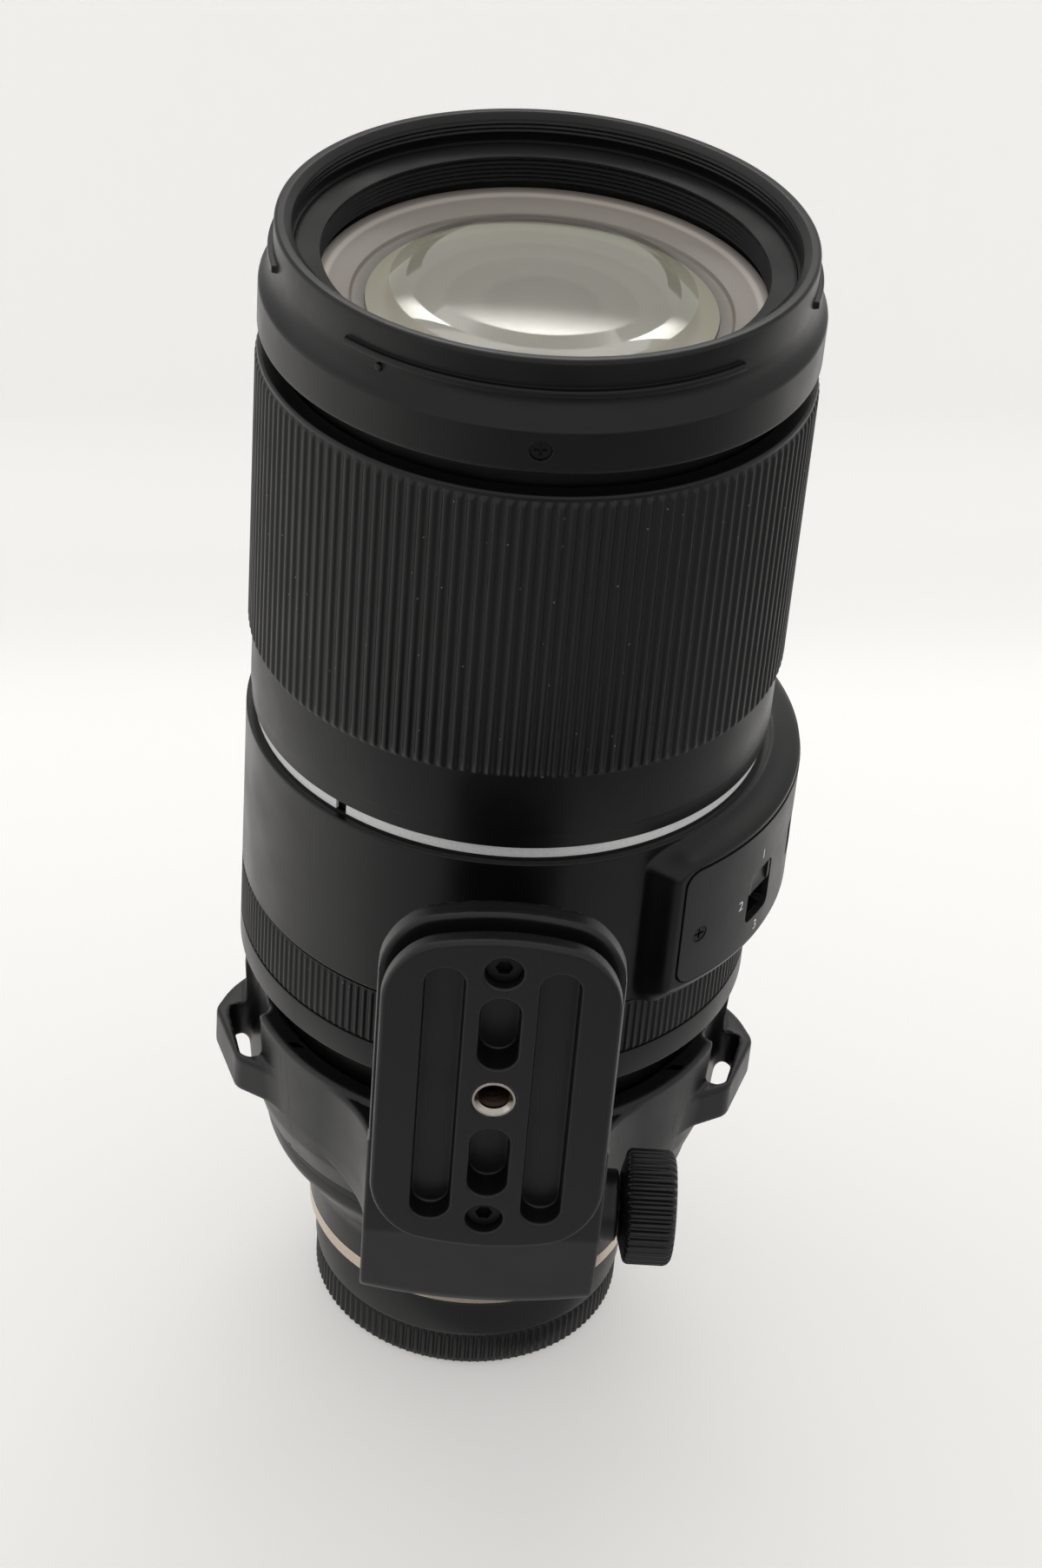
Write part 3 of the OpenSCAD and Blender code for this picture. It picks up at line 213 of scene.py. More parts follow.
def round_and(a: Array, b: Array, r: float) -> Array:
    """Common part of two distance fields, with its edge rounded to a radius."""
    return np.minimum(-r, np.maximum(a, b)) + np.hypot(np.maximum(r + a, 0), np.maximum(r + b, 0))


def round_or(a: Array, b: Array, r: float) -> Array:
    """Union of two distance fields, with its inner corner filled to a radius."""
    return np.maximum(r, np.minimum(a, b)) - np.hypot(np.maximum(r - a, 0), np.maximum(r - b, 0))


def round_cut(a: Array, b: Array, r: float) -> Array:
    """The first distance field with the second cut out of it, with the rim rounded to a radius."""
    return round_and(a, -b, r)


def box_2d(x: Array, y: Array, half_x: float, half_y: float, corner: float) -> Array:
    """Distance to a rectangle with round corners, negative inside."""
    dx, dy = np.abs(x) - half_x + corner, np.abs(y) - half_y + corner
    return np.hypot(np.maximum(dx, 0), np.maximum(dy, 0)) + np.minimum(np.maximum(dx, dy), 0) - corner


def field_shell(
    distance: Callable[[Array, Array, Array], Array],
    low: Sequence[float],
    high: Sequence[float],
    step: float,
) -> Shell:
    """Wraps a surface round the solid where a distance field is negative.

    Every grid cell that the surface crosses gets one point, the mean of the crossings on its edges. The
    points of the four cells round a crossed edge make a quad, and the points then slide down the field's
    slope onto the surface.

    Args:
        distance: Field of x, y and z in millimetres.
        low: Lowest corner of the grid.
        high: Highest corner of the grid.
        step: Size of a cell.

    Returns:
        The surface.
    """
    axes = [np.arange(a, b + step, step) for a, b in zip(low, high)]
    value = distance(*np.meshgrid(*axes, indexing="ij", sparse=False))
    shape = np.array(value.shape)
    total = np.zeros((*(shape - 1), 3))
    count = np.zeros(shape - 1)
    quads = []
    index = -np.ones(shape - 1, int)
    crossings = []
    for axis in range(3):
        first = [slice(None)] * 3
        second = [slice(None)] * 3
        first[axis], second[axis] = slice(None, -1), slice(1, None)
        a, b = value[tuple(first)], value[tuple(second)]
        at = np.argwhere((a < 0) != (b < 0))
        va, vb = a[tuple(at.T)], b[tuple(at.T)]
        spot = at.astype(float)
        spot[:, axis] += va / (va - vb)
        others = [n for n in range(3) if n != axis]
        cells = []
        for shift in ((0, 0), (-1, 0), (-1, -1), (0, -1)):
            cell = at.copy()
            cell[:, others[0]] += shift[0]
            cell[:, others[1]] += shift[1]
            cells.append(cell)
            np.add.at(total, tuple(cell.T), spot)
            np.add.at(count, tuple(cell.T), 1)
        crossings.append(cells)
    used = np.argwhere(count > 0)
    index[tuple(used.T)] = np.arange(len(used))
    points = total[tuple(used.T)] / count[tuple(used.T)][:, None]
    points = points * step + np.array([a[0] for a in axes])
    for cells in crossings:
        quads.append(np.stack([index[tuple(cell.T)] for cell in cells], axis=-1))
    small = step * PROBE_SHARE
    for _ in range(SLIDES):
        here = distance(*points.T)
        slope = np.stack([distance(*(points + small * row).T) - here for row in np.eye(3)], axis=-1) / small
        steep = np.maximum((slope**2).sum(1), LEAST_SLOPE)
        points = points - np.clip(here / steep, -step, step)[:, None] * slope
    return Shell(points, np.concatenate(quads))


def link(name: str, data: bpy.types.ID) -> bpy.types.Object:
    """Puts an object with this mesh, lamp or camera into the scene.

    Args:
        name: Name of the object.
        data: Mesh, lamp or camera.

    Returns:
        The object.
    """
    item = bpy.data.objects.new(name, data)
    bpy.context.scene.collection.objects.link(item)
    return item


# Materials


def linear(colour: str) -> tuple[float, float, float, float]:
    """Turns an sRGB hex colour into linear red, green and blue with full alpha.

    Args:
        colour: Colour as sRGB hex.

    Returns:
        Linear red, green, blue and alpha.
    """
    s = np.array([int(colour[i : i + 2], 16) for i in (1, 3, 5)]) / 255
    rgb = np.where(s <= 0.04045, s / 12.92, ((s + 0.055) / 1.055) ** 2.4)
    return (float(rgb[0]), float(rgb[1]), float(rgb[2]), 1.0)


def per_metre(size_mm: float) -> float:
    """Scale of a texture whose features are that many millimetres across."""
    return 1 / (size_mm * MM)


def add_node(
    tree: bpy.types.NodeTree,
    kind: str,
    options: dict[str, object] | None = None,
    inputs: dict[str | int, object] | None = None,
) -> bpy.types.Node:
    """Adds a node with its settings and links.

    Args:
        tree: Node tree of the material.
        kind: Type name of the node.
        options: Settings of the node itself.
        inputs: Values for its sockets, or outputs of other nodes to link to them.

    Returns:
        The node.
    """
    node = tree.nodes.new(kind)
    for name, value in (options or {}).items():
        setattr(node, name, value)
    for key, value in (inputs or {}).items():
        if isinstance(value, bpy.types.NodeSocket):
            tree.links.new(value, node.inputs[key])
        else:
            node.inputs[key].default_value = value
    return node


def new_tree(name: str) -> tuple[bpy.types.Material, bpy.types.NodeTree]:
    """Makes a material with an empty node tree.

    Args:
        name: Name of the material.

    Returns:
        The material and its tree.
    """
    material = bpy.data.materials.new(name)
    material.use_nodes = True
    material.node_tree.nodes.clear()
    return material, material.node_tree


@dataclass(frozen=True)
class Finish:
    """An opaque finish with a fine grain, uneven gloss and, where it holds dust, specks.

    Attributes:
        name: What the material is and how its surface was made.
        colour: Colour as sRGB hex.
        roughness: Mean roughness.
        metallic: 1 for bare metal.
        specular: Strength of the reflection of a plastic or paint.
        grain_mm: Size of the surface grain.
        grain_depth_mm: Depth of the surface grain.
        mottle_mm: Size of the patches of uneven gloss.
        dust: Colour of the specks of dust, or none.
        edge_mm: Radius that sharp edges of a solid are shaded with.
    """

    name: str
    colour: str
    roughness: float
    metallic: float = 0.0
    specular: float = 0.5
    grain_mm: float = 0.45
    grain_depth_mm: float = 0.012
    mottle_mm: float = 9.0
    dust: str = ""
    edge_mm: float = 0.0

    def material(self) -> bpy.types.Material:
        """Builds the material: grain as bump, patches of gloss, and dust as sparse round specks.

        Returns:
            The material.
        """
        material, tree = new_tree(self.name)
        place = add_node(tree, "ShaderNodeTexCoord").outputs["Object"]
        grain = add_node(
            tree,
            "ShaderNodeTexNoise",
            inputs={"Vector": place, "Scale": per_metre(self.grain_mm), "Detail": 2.0},
        )
        patches = add_node(
            tree,
            "ShaderNodeTexNoise",
            inputs={"Vector": place, "Scale": per_metre(self.mottle_mm), "Detail": 3.0},
        )
        rough = add_node(
            tree,
            "ShaderNodeMapRange",
            inputs={
                "Value": patches.outputs["Fac"],
                "From Min": 0.3,
                "From Max": 0.7,
                "To Min": self.roughness - GLOSS_SPREAD,
                "To Max": self.roughness + GLOSS_SPREAD,
            },
        )
        base = linear(self.colour)[:3]
        dark, pale = (tuple(min(c * k, 1.0) for c in base) + (1.0,) for k in GRAIN_SHADES)
        # Sockets 6 and 7 of a mix node are its two colours, and output 2 is the mixed one
        shade = add_node(
            tree, "ShaderNodeMix", {"data_type": "RGBA"}, {0: grain.outputs["Fac"], 6: dark, 7: pale}
        ).outputs[2]
        if self.dust:
            shade = self.add_dust(tree, place, shade)
        bump_inputs: dict[str | int, object] = {
            "Height": grain.outputs["Fac"],
            "Distance": self.grain_depth_mm * MM,
            "Strength": 1.0,
        }
        if self.edge_mm:
            edge = add_node(tree, "ShaderNodeBevel", {"samples": 4}, {"Radius": self.edge_mm * MM})
            bump_inputs["Normal"] = edge.outputs["Normal"]
        bump = add_node(tree, "ShaderNodeBump", inputs=bump_inputs)
        shader = add_node(
            tree,
            "ShaderNodeBsdfPrincipled",
            inputs={
                "Base Color": shade,
                "Roughness": rough.outputs["Result"],
                "Metallic": self.metallic,
                "Specular IOR Level": self.specular,
                "Normal": bump.outputs["Normal"],
            },
        )
        add_node(tree, "ShaderNodeOutputMaterial", inputs={"Surface": shader.outputs["BSDF"]})
        return material

    def add_dust(
        self, tree: bpy.types.NodeTree, place: bpy.types.NodeSocket, shade: bpy.types.NodeSocket
    ) -> bpy.types.NodeSocket:
        """Mixes dust into a colour.

        Each cell holds one speck, a twentieth of the cell in radius, which shows where the surface cuts it.
        Real dust is finer, and is drawn as coarse as it needs to show.

        Args:
            tree: Node tree of the material.
            place: Coordinates.
            shade: Colour without dust.

        Returns:
            Colour with dust.
        """
        cells = add_node(
            tree, "ShaderNodeTexVoronoi", inputs={"Vector": place, "Scale": per_metre(DUST_CELL_MM)}
        )
        speck = add_node(
            tree, "ShaderNodeMath", {"operation": "LESS_THAN"}, {0: cells.outputs["Distance"], 1: DUST_SPECK}
        )
        thin = add_node(
            tree, "ShaderNodeMath", {"operation": "MULTIPLY"}, {0: speck.outputs[0], 1: DUST_COVER}
        )
        return add_node(
            tree,
            "ShaderNodeMix",
            {"data_type": "RGBA"},
            {0: thin.outputs[0], 6: shade, 7: linear(self.dust)},
        ).outputs[2]


@dataclass(frozen=True)
class Glass:
    """Coated glass seen as a clear layer that reflects more towards its edge.

    Attributes:
        name: What the glass is.
        colour: Colour of the reflection as sRGB hex.
        clear: Share of the surface that hides what is below, seen straight on.
        grazing: The same share at a grazing angle.
        ior: Refractive index.
        fresnel: Fresnel factors that count as straight on and as grazing.
        roughness: Roughness of the polish.
    """

    name: str
    colour: str
    clear: float
    grazing: float
    ior: float = 1.5
    fresnel: tuple[float, float] = (0.04, 0.4)
    roughness: float = 0.02

    def material(self) -> bpy.types.Material:
        """Builds a mirror layer whose alpha rises with the Fresnel factor.

        Returns:
            The material.
        """
        material, tree = new_tree(self.name)
        mirror = add_node(tree, "ShaderNodeFresnel", inputs={"IOR": self.ior})
        alpha = add_node(
            tree,
            "ShaderNodeMapRange",
            inputs={
                "Value": mirror.outputs["Fac"],
                "From Min": self.fresnel[0],
                "From Max": self.fresnel[1],
                "To Min": self.clear,
                "To Max": self.grazing,
            },
        )
        shader = add_node(
            tree,
            "ShaderNodeBsdfPrincipled",
            inputs={
                "Base Color": linear(self.colour),
                "Metallic": 1.0,
                "Roughness": self.roughness,
                "Alpha": alpha.outputs["Result"],
            },
        )
        add_node(tree, "ShaderNodeOutputMaterial", inputs={"Surface": shader.outputs["BSDF"]})
        material.blend_method = "BLEND"
        return material


@dataclass(frozen=True)
class PaintedReflectionRings:
    """The look into the glass groups as painted reflection: rings of grey-green and warm grey.

    Attributes:
        name: What the surface is.
        tones: Radius in millimetres and sRGB hex of each ring, from the middle out.
        roughness: Roughness of the surface.
        ior: Refractive index, higher for a stack of faces that each reflect a little.
    """

    name: str
    tones: tuple[tuple[float, str], ...]
    roughness: float
    ior: float

    def material(self) -> bpy.types.Material:
        """Builds a painted-reflection colour that follows the distance from the optical axis.

        Returns:
            The material.
        """
        material, tree = new_tree(self.name)
        place = add_node(tree, "ShaderNodeTexCoord").outputs["Object"]
        flat = add_node(
            tree,
            "ShaderNodeVectorMath",
            {"operation": "MULTIPLY"},
            {0: place, 1: (1.0, 1.0, 0.0)},
        )
        radius = add_node(tree, "ShaderNodeVectorMath", {"operation": "LENGTH"}, {0: flat.outputs[0]})
        reach = self.tones[-1][0]
        share = add_node(
            tree,
            "ShaderNodeMath",
            {"operation": "DIVIDE"},
            {0: radius.outputs["Value"], 1: reach * MM},
        )
        ramp = add_node(tree, "ShaderNodeValToRGB", inputs={"Fac": share.outputs[0]})
        stops = ramp.color_ramp.elements
        while len(stops) < len(self.tones):
            stops.new(0.5)
        for stop, (r, colour) in zip(stops, self.tones):
            stop.position = r / reach
            stop.color = linear(colour)
        shader = add_node(
            tree,
            "ShaderNodeBsdfPrincipled",
            inputs={
                "Base Color": ramp.outputs["Color"],
                "Roughness": self.roughness,
                "IOR": self.ior,
            },
        )
        add_node(tree, "ShaderNodeOutputMaterial", inputs={"Surface": shader.outputs["BSDF"]})
        return material


# Coated glass in stacks as painted reflection: grey-green rings for the room that each face reflects a
# little, and steps for their edges
SECOND_GROUP = PaintedReflectionRings(
    "Second group glass with painted reflection",
    (
        (0.0, "#76715f"),
        (9.0, "#716d5b"),
        (10.2, "#7e7a67"),
        (15.4, "#7b7765"),
        (16.4, "#87826f"),
        (20.6, "#827e6b"),
        (21.6, "#8e8a77"),
        (25.2, "#898471"),
        (26.2, "#94907d"),
        (29.0, "#908c79"),
    ),
    0.35,
    1.5,
)
# The cell's wall behind the glass edge, finished matt: its warm grey is painted reflection, with a pale
# painted highlight ring for the sheen of the faces above it
CELL_WALL = PaintedReflectionRings(
    "Matt cell wall with painted reflection and highlight",
    (
        (29.0, "#5c554f"),
        (31.2, "#7c746c"),
        (31.8, "#938a83"),
        (35.0, "#a0978e"),
        (35.4, "#cbc2b9"),
        (35.9, "#cbc2b9"),
        (36.3, "#989088"),
        (37.3, "#7c746d"),
    ),
    0.45,
    1.6,
)
# Black mouldings: fine spark-eroded grain, deep black with a broad soft sheen
MOULDING = Finish("Moulded black polycarbonate", "#090909", 0.34, specular=0.38, edge_mm=0.25)
RING_MOULDING = Finish("Moulded black polycarbonate, fine", "#0b0b0c", 0.36, specular=0.38, edge_mm=0.2)
PANEL = Finish("Moulded black panel, satin", "#1a1b1c", 0.4, specular=0.42, edge_mm=0.15)
SLIDER = Finish("Moulded black switch slider", "#131314", 0.42, specular=0.45, edge_mm=0.2)
KNOB_MOULDING = Finish("Moulded black nylon", "#0d0d0e", 0.34, specular=0.5, edge_mm=0.2)
CAP_MOULDING = Finish("Moulded black ABS", "#0f0f10", 0.42, specular=0.45)
# Ribbed rubber: duller than the mouldings, and it holds dust
RUBBER = Finish("Moulded ribbed rubber", "#0b0b0b", 0.44, specular=0.45, dust="#8f8c86")
# Cast alloy under a thin matt coating: a slightly grey black with a fine grit
COATED_ALLOY = Finish("Matt coated cast magnesium", "#101012", 0.38, specular=0.46, grain_mm=0.5)
# Blackened metal: dark grey with a faint metal sheen, or nearly dead black where it traps light
BLACK_ALLOY = Finish("Black anodised aluminium", "#1a1a1c", 0.4, metallic=0.3, edge_mm=0.1)
TRIM = Finish("Black anodised aluminium, ribbed", "#0a0a0b", 0.5, specular=0.25)
CELL = Finish("Matt black cell", "#0e0e0f", 0.6, specular=0.3)
BLACK_STEEL = Finish("Black oxide steel", "#131314", 0.35, metallic=0.5, edge_mm=0.1)
# Print: a clean matt white
MARK = Finish("White print on plastic", "#f8f8f8", 0.45, edge_mm=0.1)
# Bare metals: smooth and bright, each in its own tint
PLATED = Finish("Turned brass, satin nickel plate", "#cdbfae", 0.26, metallic=1.0, grain_depth_mm=0.004)
STEEL = Finish("Turned stainless steel", "#c6bfb6", 0.22, metallic=1.0, grain_depth_mm=0.004)
BRASS = Finish("Turned brass", "#c9a86a", 0.3, metallic=1.0)
COPPER = Finish("Enamelled copper wire", "#a5602f", 0.35, metallic=0.8)
# A cut thread under oil: a dark warm metal
OILED_STEEL = Finish("Oiled steel thread", "#4a3c33", 0.35, metallic=1.0)
# Pieces inside: a green board, felt that takes up light, and a dull block
CIRCUIT = Finish("Green solder mask", "#1d5a38", 0.35)
FELT = Finish("Dark felt", "#2e2c2a", 0.9, specular=0.2, grain_mm=0.3)
CONTACTS = Finish("Black contact block", "#17171a", 0.45)
# Coated glass: clear, with a mirror that grows towards its edge
FRONT_GLASS = Glass("Coated front element", "#f1ece4", 0.0005, 0.008)
REAR_FACE = Glass("Coated rear face of the front element", "#f2f2ee", 0.015, 0.22)
INNER_GLASS = Glass("Coated inner element", "#eeeade", 0.012, 0.34)

FINISH_OF_SLOT: dict[str, Finish | Glass] = {
    "barrel_plastic": MOULDING,
    "ring_plastic": RING_MOULDING,
    "grip_rubber": RUBBER,
    "switch_panel": PANEL,
    "switch_plastic": SLIDER,
    "mark_white": MARK,
    "black_screw": BLACK_STEEL,
    "mount_metal": PLATED,
    "contact_plastic": CONTACTS,
    "trim_black": TRIM,
    "front_glass": FRONT_GLASS,
    "group_glass": INNER_GLASS,
    "cell_black": CELL,
    "sleeve_alloy": BLACK_ALLOY,
    "circuit": CIRCUIT,
    "steel": STEEL,
    "magnet": STEEL,
    "copper": COPPER,
    "brass": BRASS,
    "iris_black": BLACK_ALLOY,
    "collar_alloy": COATED_ALLOY,
    "bush_steel": STEEL,
    "liner": FELT,
    "knob_plastic": KNOB_MOULDING,
    "cap_plastic": CAP_MOULDING,
}


class Workshop:
    """Makes materials once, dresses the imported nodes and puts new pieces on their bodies."""

    def __init__(self, frame: dict) -> None:
        """Keeps the frame and an empty store of materials."""
        self.frame = frame
        self.materials: dict[str, bpy.types.Material] = {}

    def material(self, finish: Finish | Glass | PaintedReflectionRings) -> bpy.types.Material:
        """Gives the material of a finish, and makes it the first time.

        Args:
            finish: The finish.

        Returns:
            Its material.
        """
        if finish.name not in self.materials:
            self.materials[finish.name] = finish.material()
        return self.materials[finish.name]

    def dress_nodes(self) -> None:
        """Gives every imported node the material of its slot."""
        for part in self.frame["record"]["subparts"]:
            node = self.frame["nodes"][part["node"]]
            node.data.materials.clear()
            node.data.materials.append(self.material(FINISH_OF_SLOT[part["material_slot"]]))

    def add(
        self,
        name: str,
        shells: Sequence[Shell],
        body: Body,
        slot: str,
        replaces: Sequence[str] = (),
        finish: Finish | Glass | PaintedReflectionRings | None = None,
        sharp: float = 40,
    ) -> None:
        """Puts a piece into the scene.

        Args:
            name: Name of the piece.
            shells: Its surfaces.
            body: Body that it rides on.
            slot: Slot of the record that it takes its finish from.
            replaces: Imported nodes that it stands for.
            finish: Finish, where it isn't the slot's own.
            sharp: Angle between faces, in degrees, from which an edge stays sharp.
        """
        starts = np.cumsum([0] + [len(s.points) for s in shells])
        points = np.concatenate([s.points for s in shells]) * MM
        quads = np.concatenate([s.quads + start for s, start in zip(shells, starts)])
        mesh = bpy.data.meshes.new(name)
        mesh.vertices.add(len(points))
        mesh.vertices.foreach_set("co", points.astype(np.float32).ravel())
        mesh.loops.add(quads.size)
        mesh.loops.foreach_set("vertex_index", quads.astype(np.int32).ravel())
        mesh.polygons.add(len(quads))
        mesh.polygons.foreach_set("loop_start", np.arange(0, quads.size, 4, dtype=np.int32))
        mesh.update(calc_edges=True)
        shape = bmesh.new()
        shape.from_mesh(mesh)
        bmesh.ops.remove_doubles(shape, verts=shape.verts, dist=MERGE_M)
        bmesh.ops.recalc_face_normals(shape, faces=shape.faces)
        shape.to_mesh(mesh)
        shape.free()
        mesh.polygons.foreach_set("use_smooth", np.ones(len(mesh.polygons), bool))
        mesh.set_sharp_from_angle(angle=math.radians(sharp))
        mesh.materials.append(self.material(finish or FINISH_OF_SLOT[slot]))
        piece = link(name, mesh)
        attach(piece, body.value)
        if replaces:
            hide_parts(*replaces)
        log.info("%s: %d faces on %s", name, len(mesh.polygons), body.value)


# Sub-assemblies


def fine_azimuths(base: float, spots: Sequence[tuple[float, float, float]]) -> Array:
    """Azimuths round the circle, closer together where detail needs them.

    Args:
        base: Spacing elsewhere, in degrees.
        spots: Azimuth, half width and spacing of each stretch of detail.

    Returns:
        Sorted azimuths in degrees.
    """
    parts = [np.arange(0, 360, base)]
    parts += [np.arange(a - half, a + half + step / 2, step) % 360 for a, half, step in spots]
    return np.unique(np.round(np.concatenate(parts), 3))


def smooth_step(x: Array) -> Array:
    """Goes from 0 to 1 with level ends: three x squared less two x cubed."""
    t = np.clip(x, 0, 1)
    return t * t * (3 - 2 * t)


def away(azimuth: Array, middle: float) -> Array:
    """Angle from one azimuth to another, from -180 to 180 degrees."""
    return (azimuth - middle + 180) % 360 - 180


def rib_wave(azimuth: Array, count: int, square: float) -> Array:
    """Rounded square wave, 0 in a groove and 1 on a crest: the tanh of a cosine."""
    return 0.5 + 0.5 * np.tanh(square * np.cos(np.radians(azimuth) * count)) / math.tanh(square)


def ribbed_band(
    seat: float,
    crest: float,
    height: float,
    span: tuple[float, float],
    ends: Sequence[float],
    run: float,
    ribs: tuple[int, int],
) -> Shell:
    """A band of ribs round the optical axis.

    The outer radius is the crest less the part of the rib height that isn't raised. What is raised is the rib
    wave times a smooth step to a power, which rises from both ends of the band.

    Args:
        seat: Inner radius.
        crest: Radius on the ribs.
        height: Height of the ribs.
        span: Lower and upper end of the band.
        ends: Distances of the rows from each end.
        run: Distance over which the ribs rise.
        ribs: Number of ribs, and points for each.

    Returns:
        The closed band.
    """
    low, high = span
    count, samples = ribs
    inset = np.array(ends)
    rows = np.concatenate([low + inset, high - inset[::-1]])
    lift = smooth_step(np.minimum(rows - low, high - rows) / run) ** RIB_EASE
    azimuth = np.arange(count * samples) * 360 / (count * samples)
    raised = lift[:, None] * rib_wave(azimuth, count, RIB_SQUARE)[None, :]
    outer = crest - height * (1 - raised)
    wall = np.full((2, len(azimuth)), seat)
    radius = np.concatenate([wall[:1], outer, wall[1:]])
    along = np.concatenate([rows[:1], rows, rows[-1:]])
    return grid_shell(spin(radius, along, azimuth), True, True)


@dataclass
class FrontBarrel:
    """Front ring with its hood bayonet and filter thread, trim ring and front glass."""

    base_z: float = 210.5
    top_z: float = 229.0
    band_r: float = 46.4
    band_top: float = 218.0
    rim_r: float = 44.1
    filter_r: float = 41.2
    tube_r: float = 42.8
    tube_in: float = 40.8
    ledge_z: float = 217.1
    flare_r: float = 5.62
    flare_turn: float = 49.9
    neck_z: float = 222.6
    hood_z: float = 222.9
    hood_reach: float = 0.9
    hood_half: float = 44.0
    # Height above the tab's foot, and share of its reach
    hood_steps: tuple[tuple[float, float], ...] = (
        (0.0, 0.0),
        (0.02, 0.55),
        (0.1, 0.9),
        (0.3, 1.0),
        (0.7, 1.0),
        (1.1, 1.0),
        (1.3, 0.9),
        (1.38, 0.55),
        (1.4, 0.0),
    )
    pin_az: float = -35.0
    pin_drop: float = 1.2
    rim_z: float = 225.0
    rim_in: float = 42.5
    lead_z: float = 228.0
    screw_z: float = 214.6
    screw_r: float = 1.75
    screw_depth: float = 0.85
    thread_z: float = 224.1
    thread_pitch: float = 0.75
    thread_depth: float = 0.18
    thread_points: int = 7
    trim_r: float = 36.5
    trim_top: float = 224.05
    trim_slope: float = 0.6
    trim_seat: float = 220.65
    trim_flat: float = 0.7
    trap_points: int = 12
    trap_depth: float = 0.4
    trap_gap: float = 0.4
    trap_lip: float = 0.5
    glass_r: float = 37.7
    glass_z: float = 218.2
    glass_sag: float = 4.0
    glass_gap: float = 0.05
    glass_t: float = 0.3
    group_r: float = 29.0
    group_z: float = 215.0
    group_sag: float = 0.0
    rear_face_r: float = 20.0
    rear_face_z: float = 220.4
    rear_face_sag: float = 0.8
    rear_face_t: float = 0.2
    bevel_in: float = 22.4
    bevel_out: float = 25.2
    bevel_slope: float = 0.2
    bevel_curve: float = 0.07
    step_slope: float = 0.5
    wall_r: float = 37.3
    seat_z: float = 213.3

    def ring_profile(self) -> tuple[Array, Array]:
        """Profile of the front ring, anticlockwise from the inside of its lower edge.

        Returns:
            Radius and height of each point, and the share of the hood tab's reach at each point.
        """
        turn = np.radians(np.linspace(180 + self.flare_turn, 180, 13))
        flare = np.stack(
            [
                self.rim_r + self.flare_r + self.flare_r * np.cos(turn),
                self.neck_z + self.flare_r * np.sin(turn),
            ],
            axis=-1,
        )
        low = fillet(
            [
                (self.tube_r, self.base_z, 0.0),
                (self.band_r, self.base_z, 0.5),
                (self.band_r, self.top_z, 0.0),
            ]
        )[:-1]
        band_z = np.linspace(self.base_z + 1.1, self.band_top - 0.25, 40)
        band = np.stack([np.full(len(band_z), self.band_r), band_z], axis=-1)
        shoulder = np.array([self.band_r, self.band_top]) + np.array([(-0.03, -0.1), (-0.12, 0.1)])
        steps, lifts = np.array(self.hood_steps).T
        tab = np.stack([np.full(len(steps), self.rim_r), self.hood_z + steps], axis=-1)
        rim = fillet(
            [
                (self.rim_r, self.rim_z, 0.0),
                (self.rim_r, self.top_z, 0.7),
                (self.rim_in, self.top_z, 0.4),
                (self.filter_r, self.lead_z, 0.1),
            ]
        )
        teeth = np.arange(self.thread_points)
        thread = np.stack(
            [
                self.filter_r - self.thread_depth * (teeth % 2),
                self.lead_z - 0.2 - teeth * self.thread_pitch / 2,
            ],
            axis=-1,
        )
        inside = np.array(
            [
                [self.filter_r, self.thread_z],
                [self.tube_in, self.thread_z],
                [self.tube_in, self.ledge_z],
                [self.tube_r, self.ledge_z],
            ]
        )
        parts = [low, band, shoulder, flare, tab, rim, thread, inside]
        share = np.concatenate([np.zeros(len(p)) if p is not tab else lifts for p in parts])
        return np.concatenate(parts), share

    def build_ring(self, shop: Workshop) -> None:
        """Turns the front ring, raises the hood tabs from it and sinks its screw holes into it.

        Args:
            shop: Workshop that takes the pieces.
        """
        spots = [(third + s * self.hood_half, 1.2, 0.12) for third in THIRDS for s in (-1, 1)]
        spots += [(third, 2.8, 0.15) for third in THIRDS]
        azimuth = fine_azimuths(1.2, spots)
        profile, share = self.ring_profile()
        from_tab = np.abs(away(azimuth[:, None], np.array(THIRDS)[None, :])).min(1)
        tab = smooth_step((self.hood_half - from_tab) / 0.5 + 0.5)
        radius = profile[:, :1] + self.hood_reach * share[:, None] * tab[None, :]
        across = np.radians(from_tab)[None, :] * self.band_r
        hole = np.hypot(across, profile[:, 1:] - self.screw_z) < self.screw_r
        on_band = profile[:, :1] > self.band_r - 0.01
        radius = np.where(hole & on_band, self.band_r - self.screw_depth, radius)
        shells = [grid_shell(spin(radius, profile[:, 1], azimuth), True, True)]
        shells += [self.stop_pin(third + self.pin_az) for third in THIRDS]
        shop.add("front_ring_moulding", shells, Body.FRONT, "barrel_plastic", ["front_ring"])

    def stop_pin(self, azimuth: float) -> Shell:
        """A round-ended pin beside a hood tab, turned about a radius of the rim.

        Args:
            azimuth: Azimuth of the pin.

        Returns:
            The pin.
        """
        turn = np.radians(azimuth)
        out = np.array([math.sin(turn), -math.cos(turn), 0])
        across = np.array([math.cos(turn), math.sin(turn), 0])
        # Radius, and distance along the pin
        rows = [(0.0, -0.6), (0.7, -0.6), (0.7, 0.45), (0.6, 0.62), (0.35, 0.7), (0.0, 0.72)]
        r, along = np.array(rows).T
        t = np.linspace(0, 2 * np.pi, 20, endpoint=False)
        ring = np.cos(t)[None, :, None] * across + np.sin(t)[None, :, None] * np.array([0, 0, 1.0])
        points = r[:, None, None] * ring + (self.rim_r + along)[:, None, None] * out
        return grid_shell(points + np.array([0, 0, self.hood_z - self.pin_drop]), False, True)

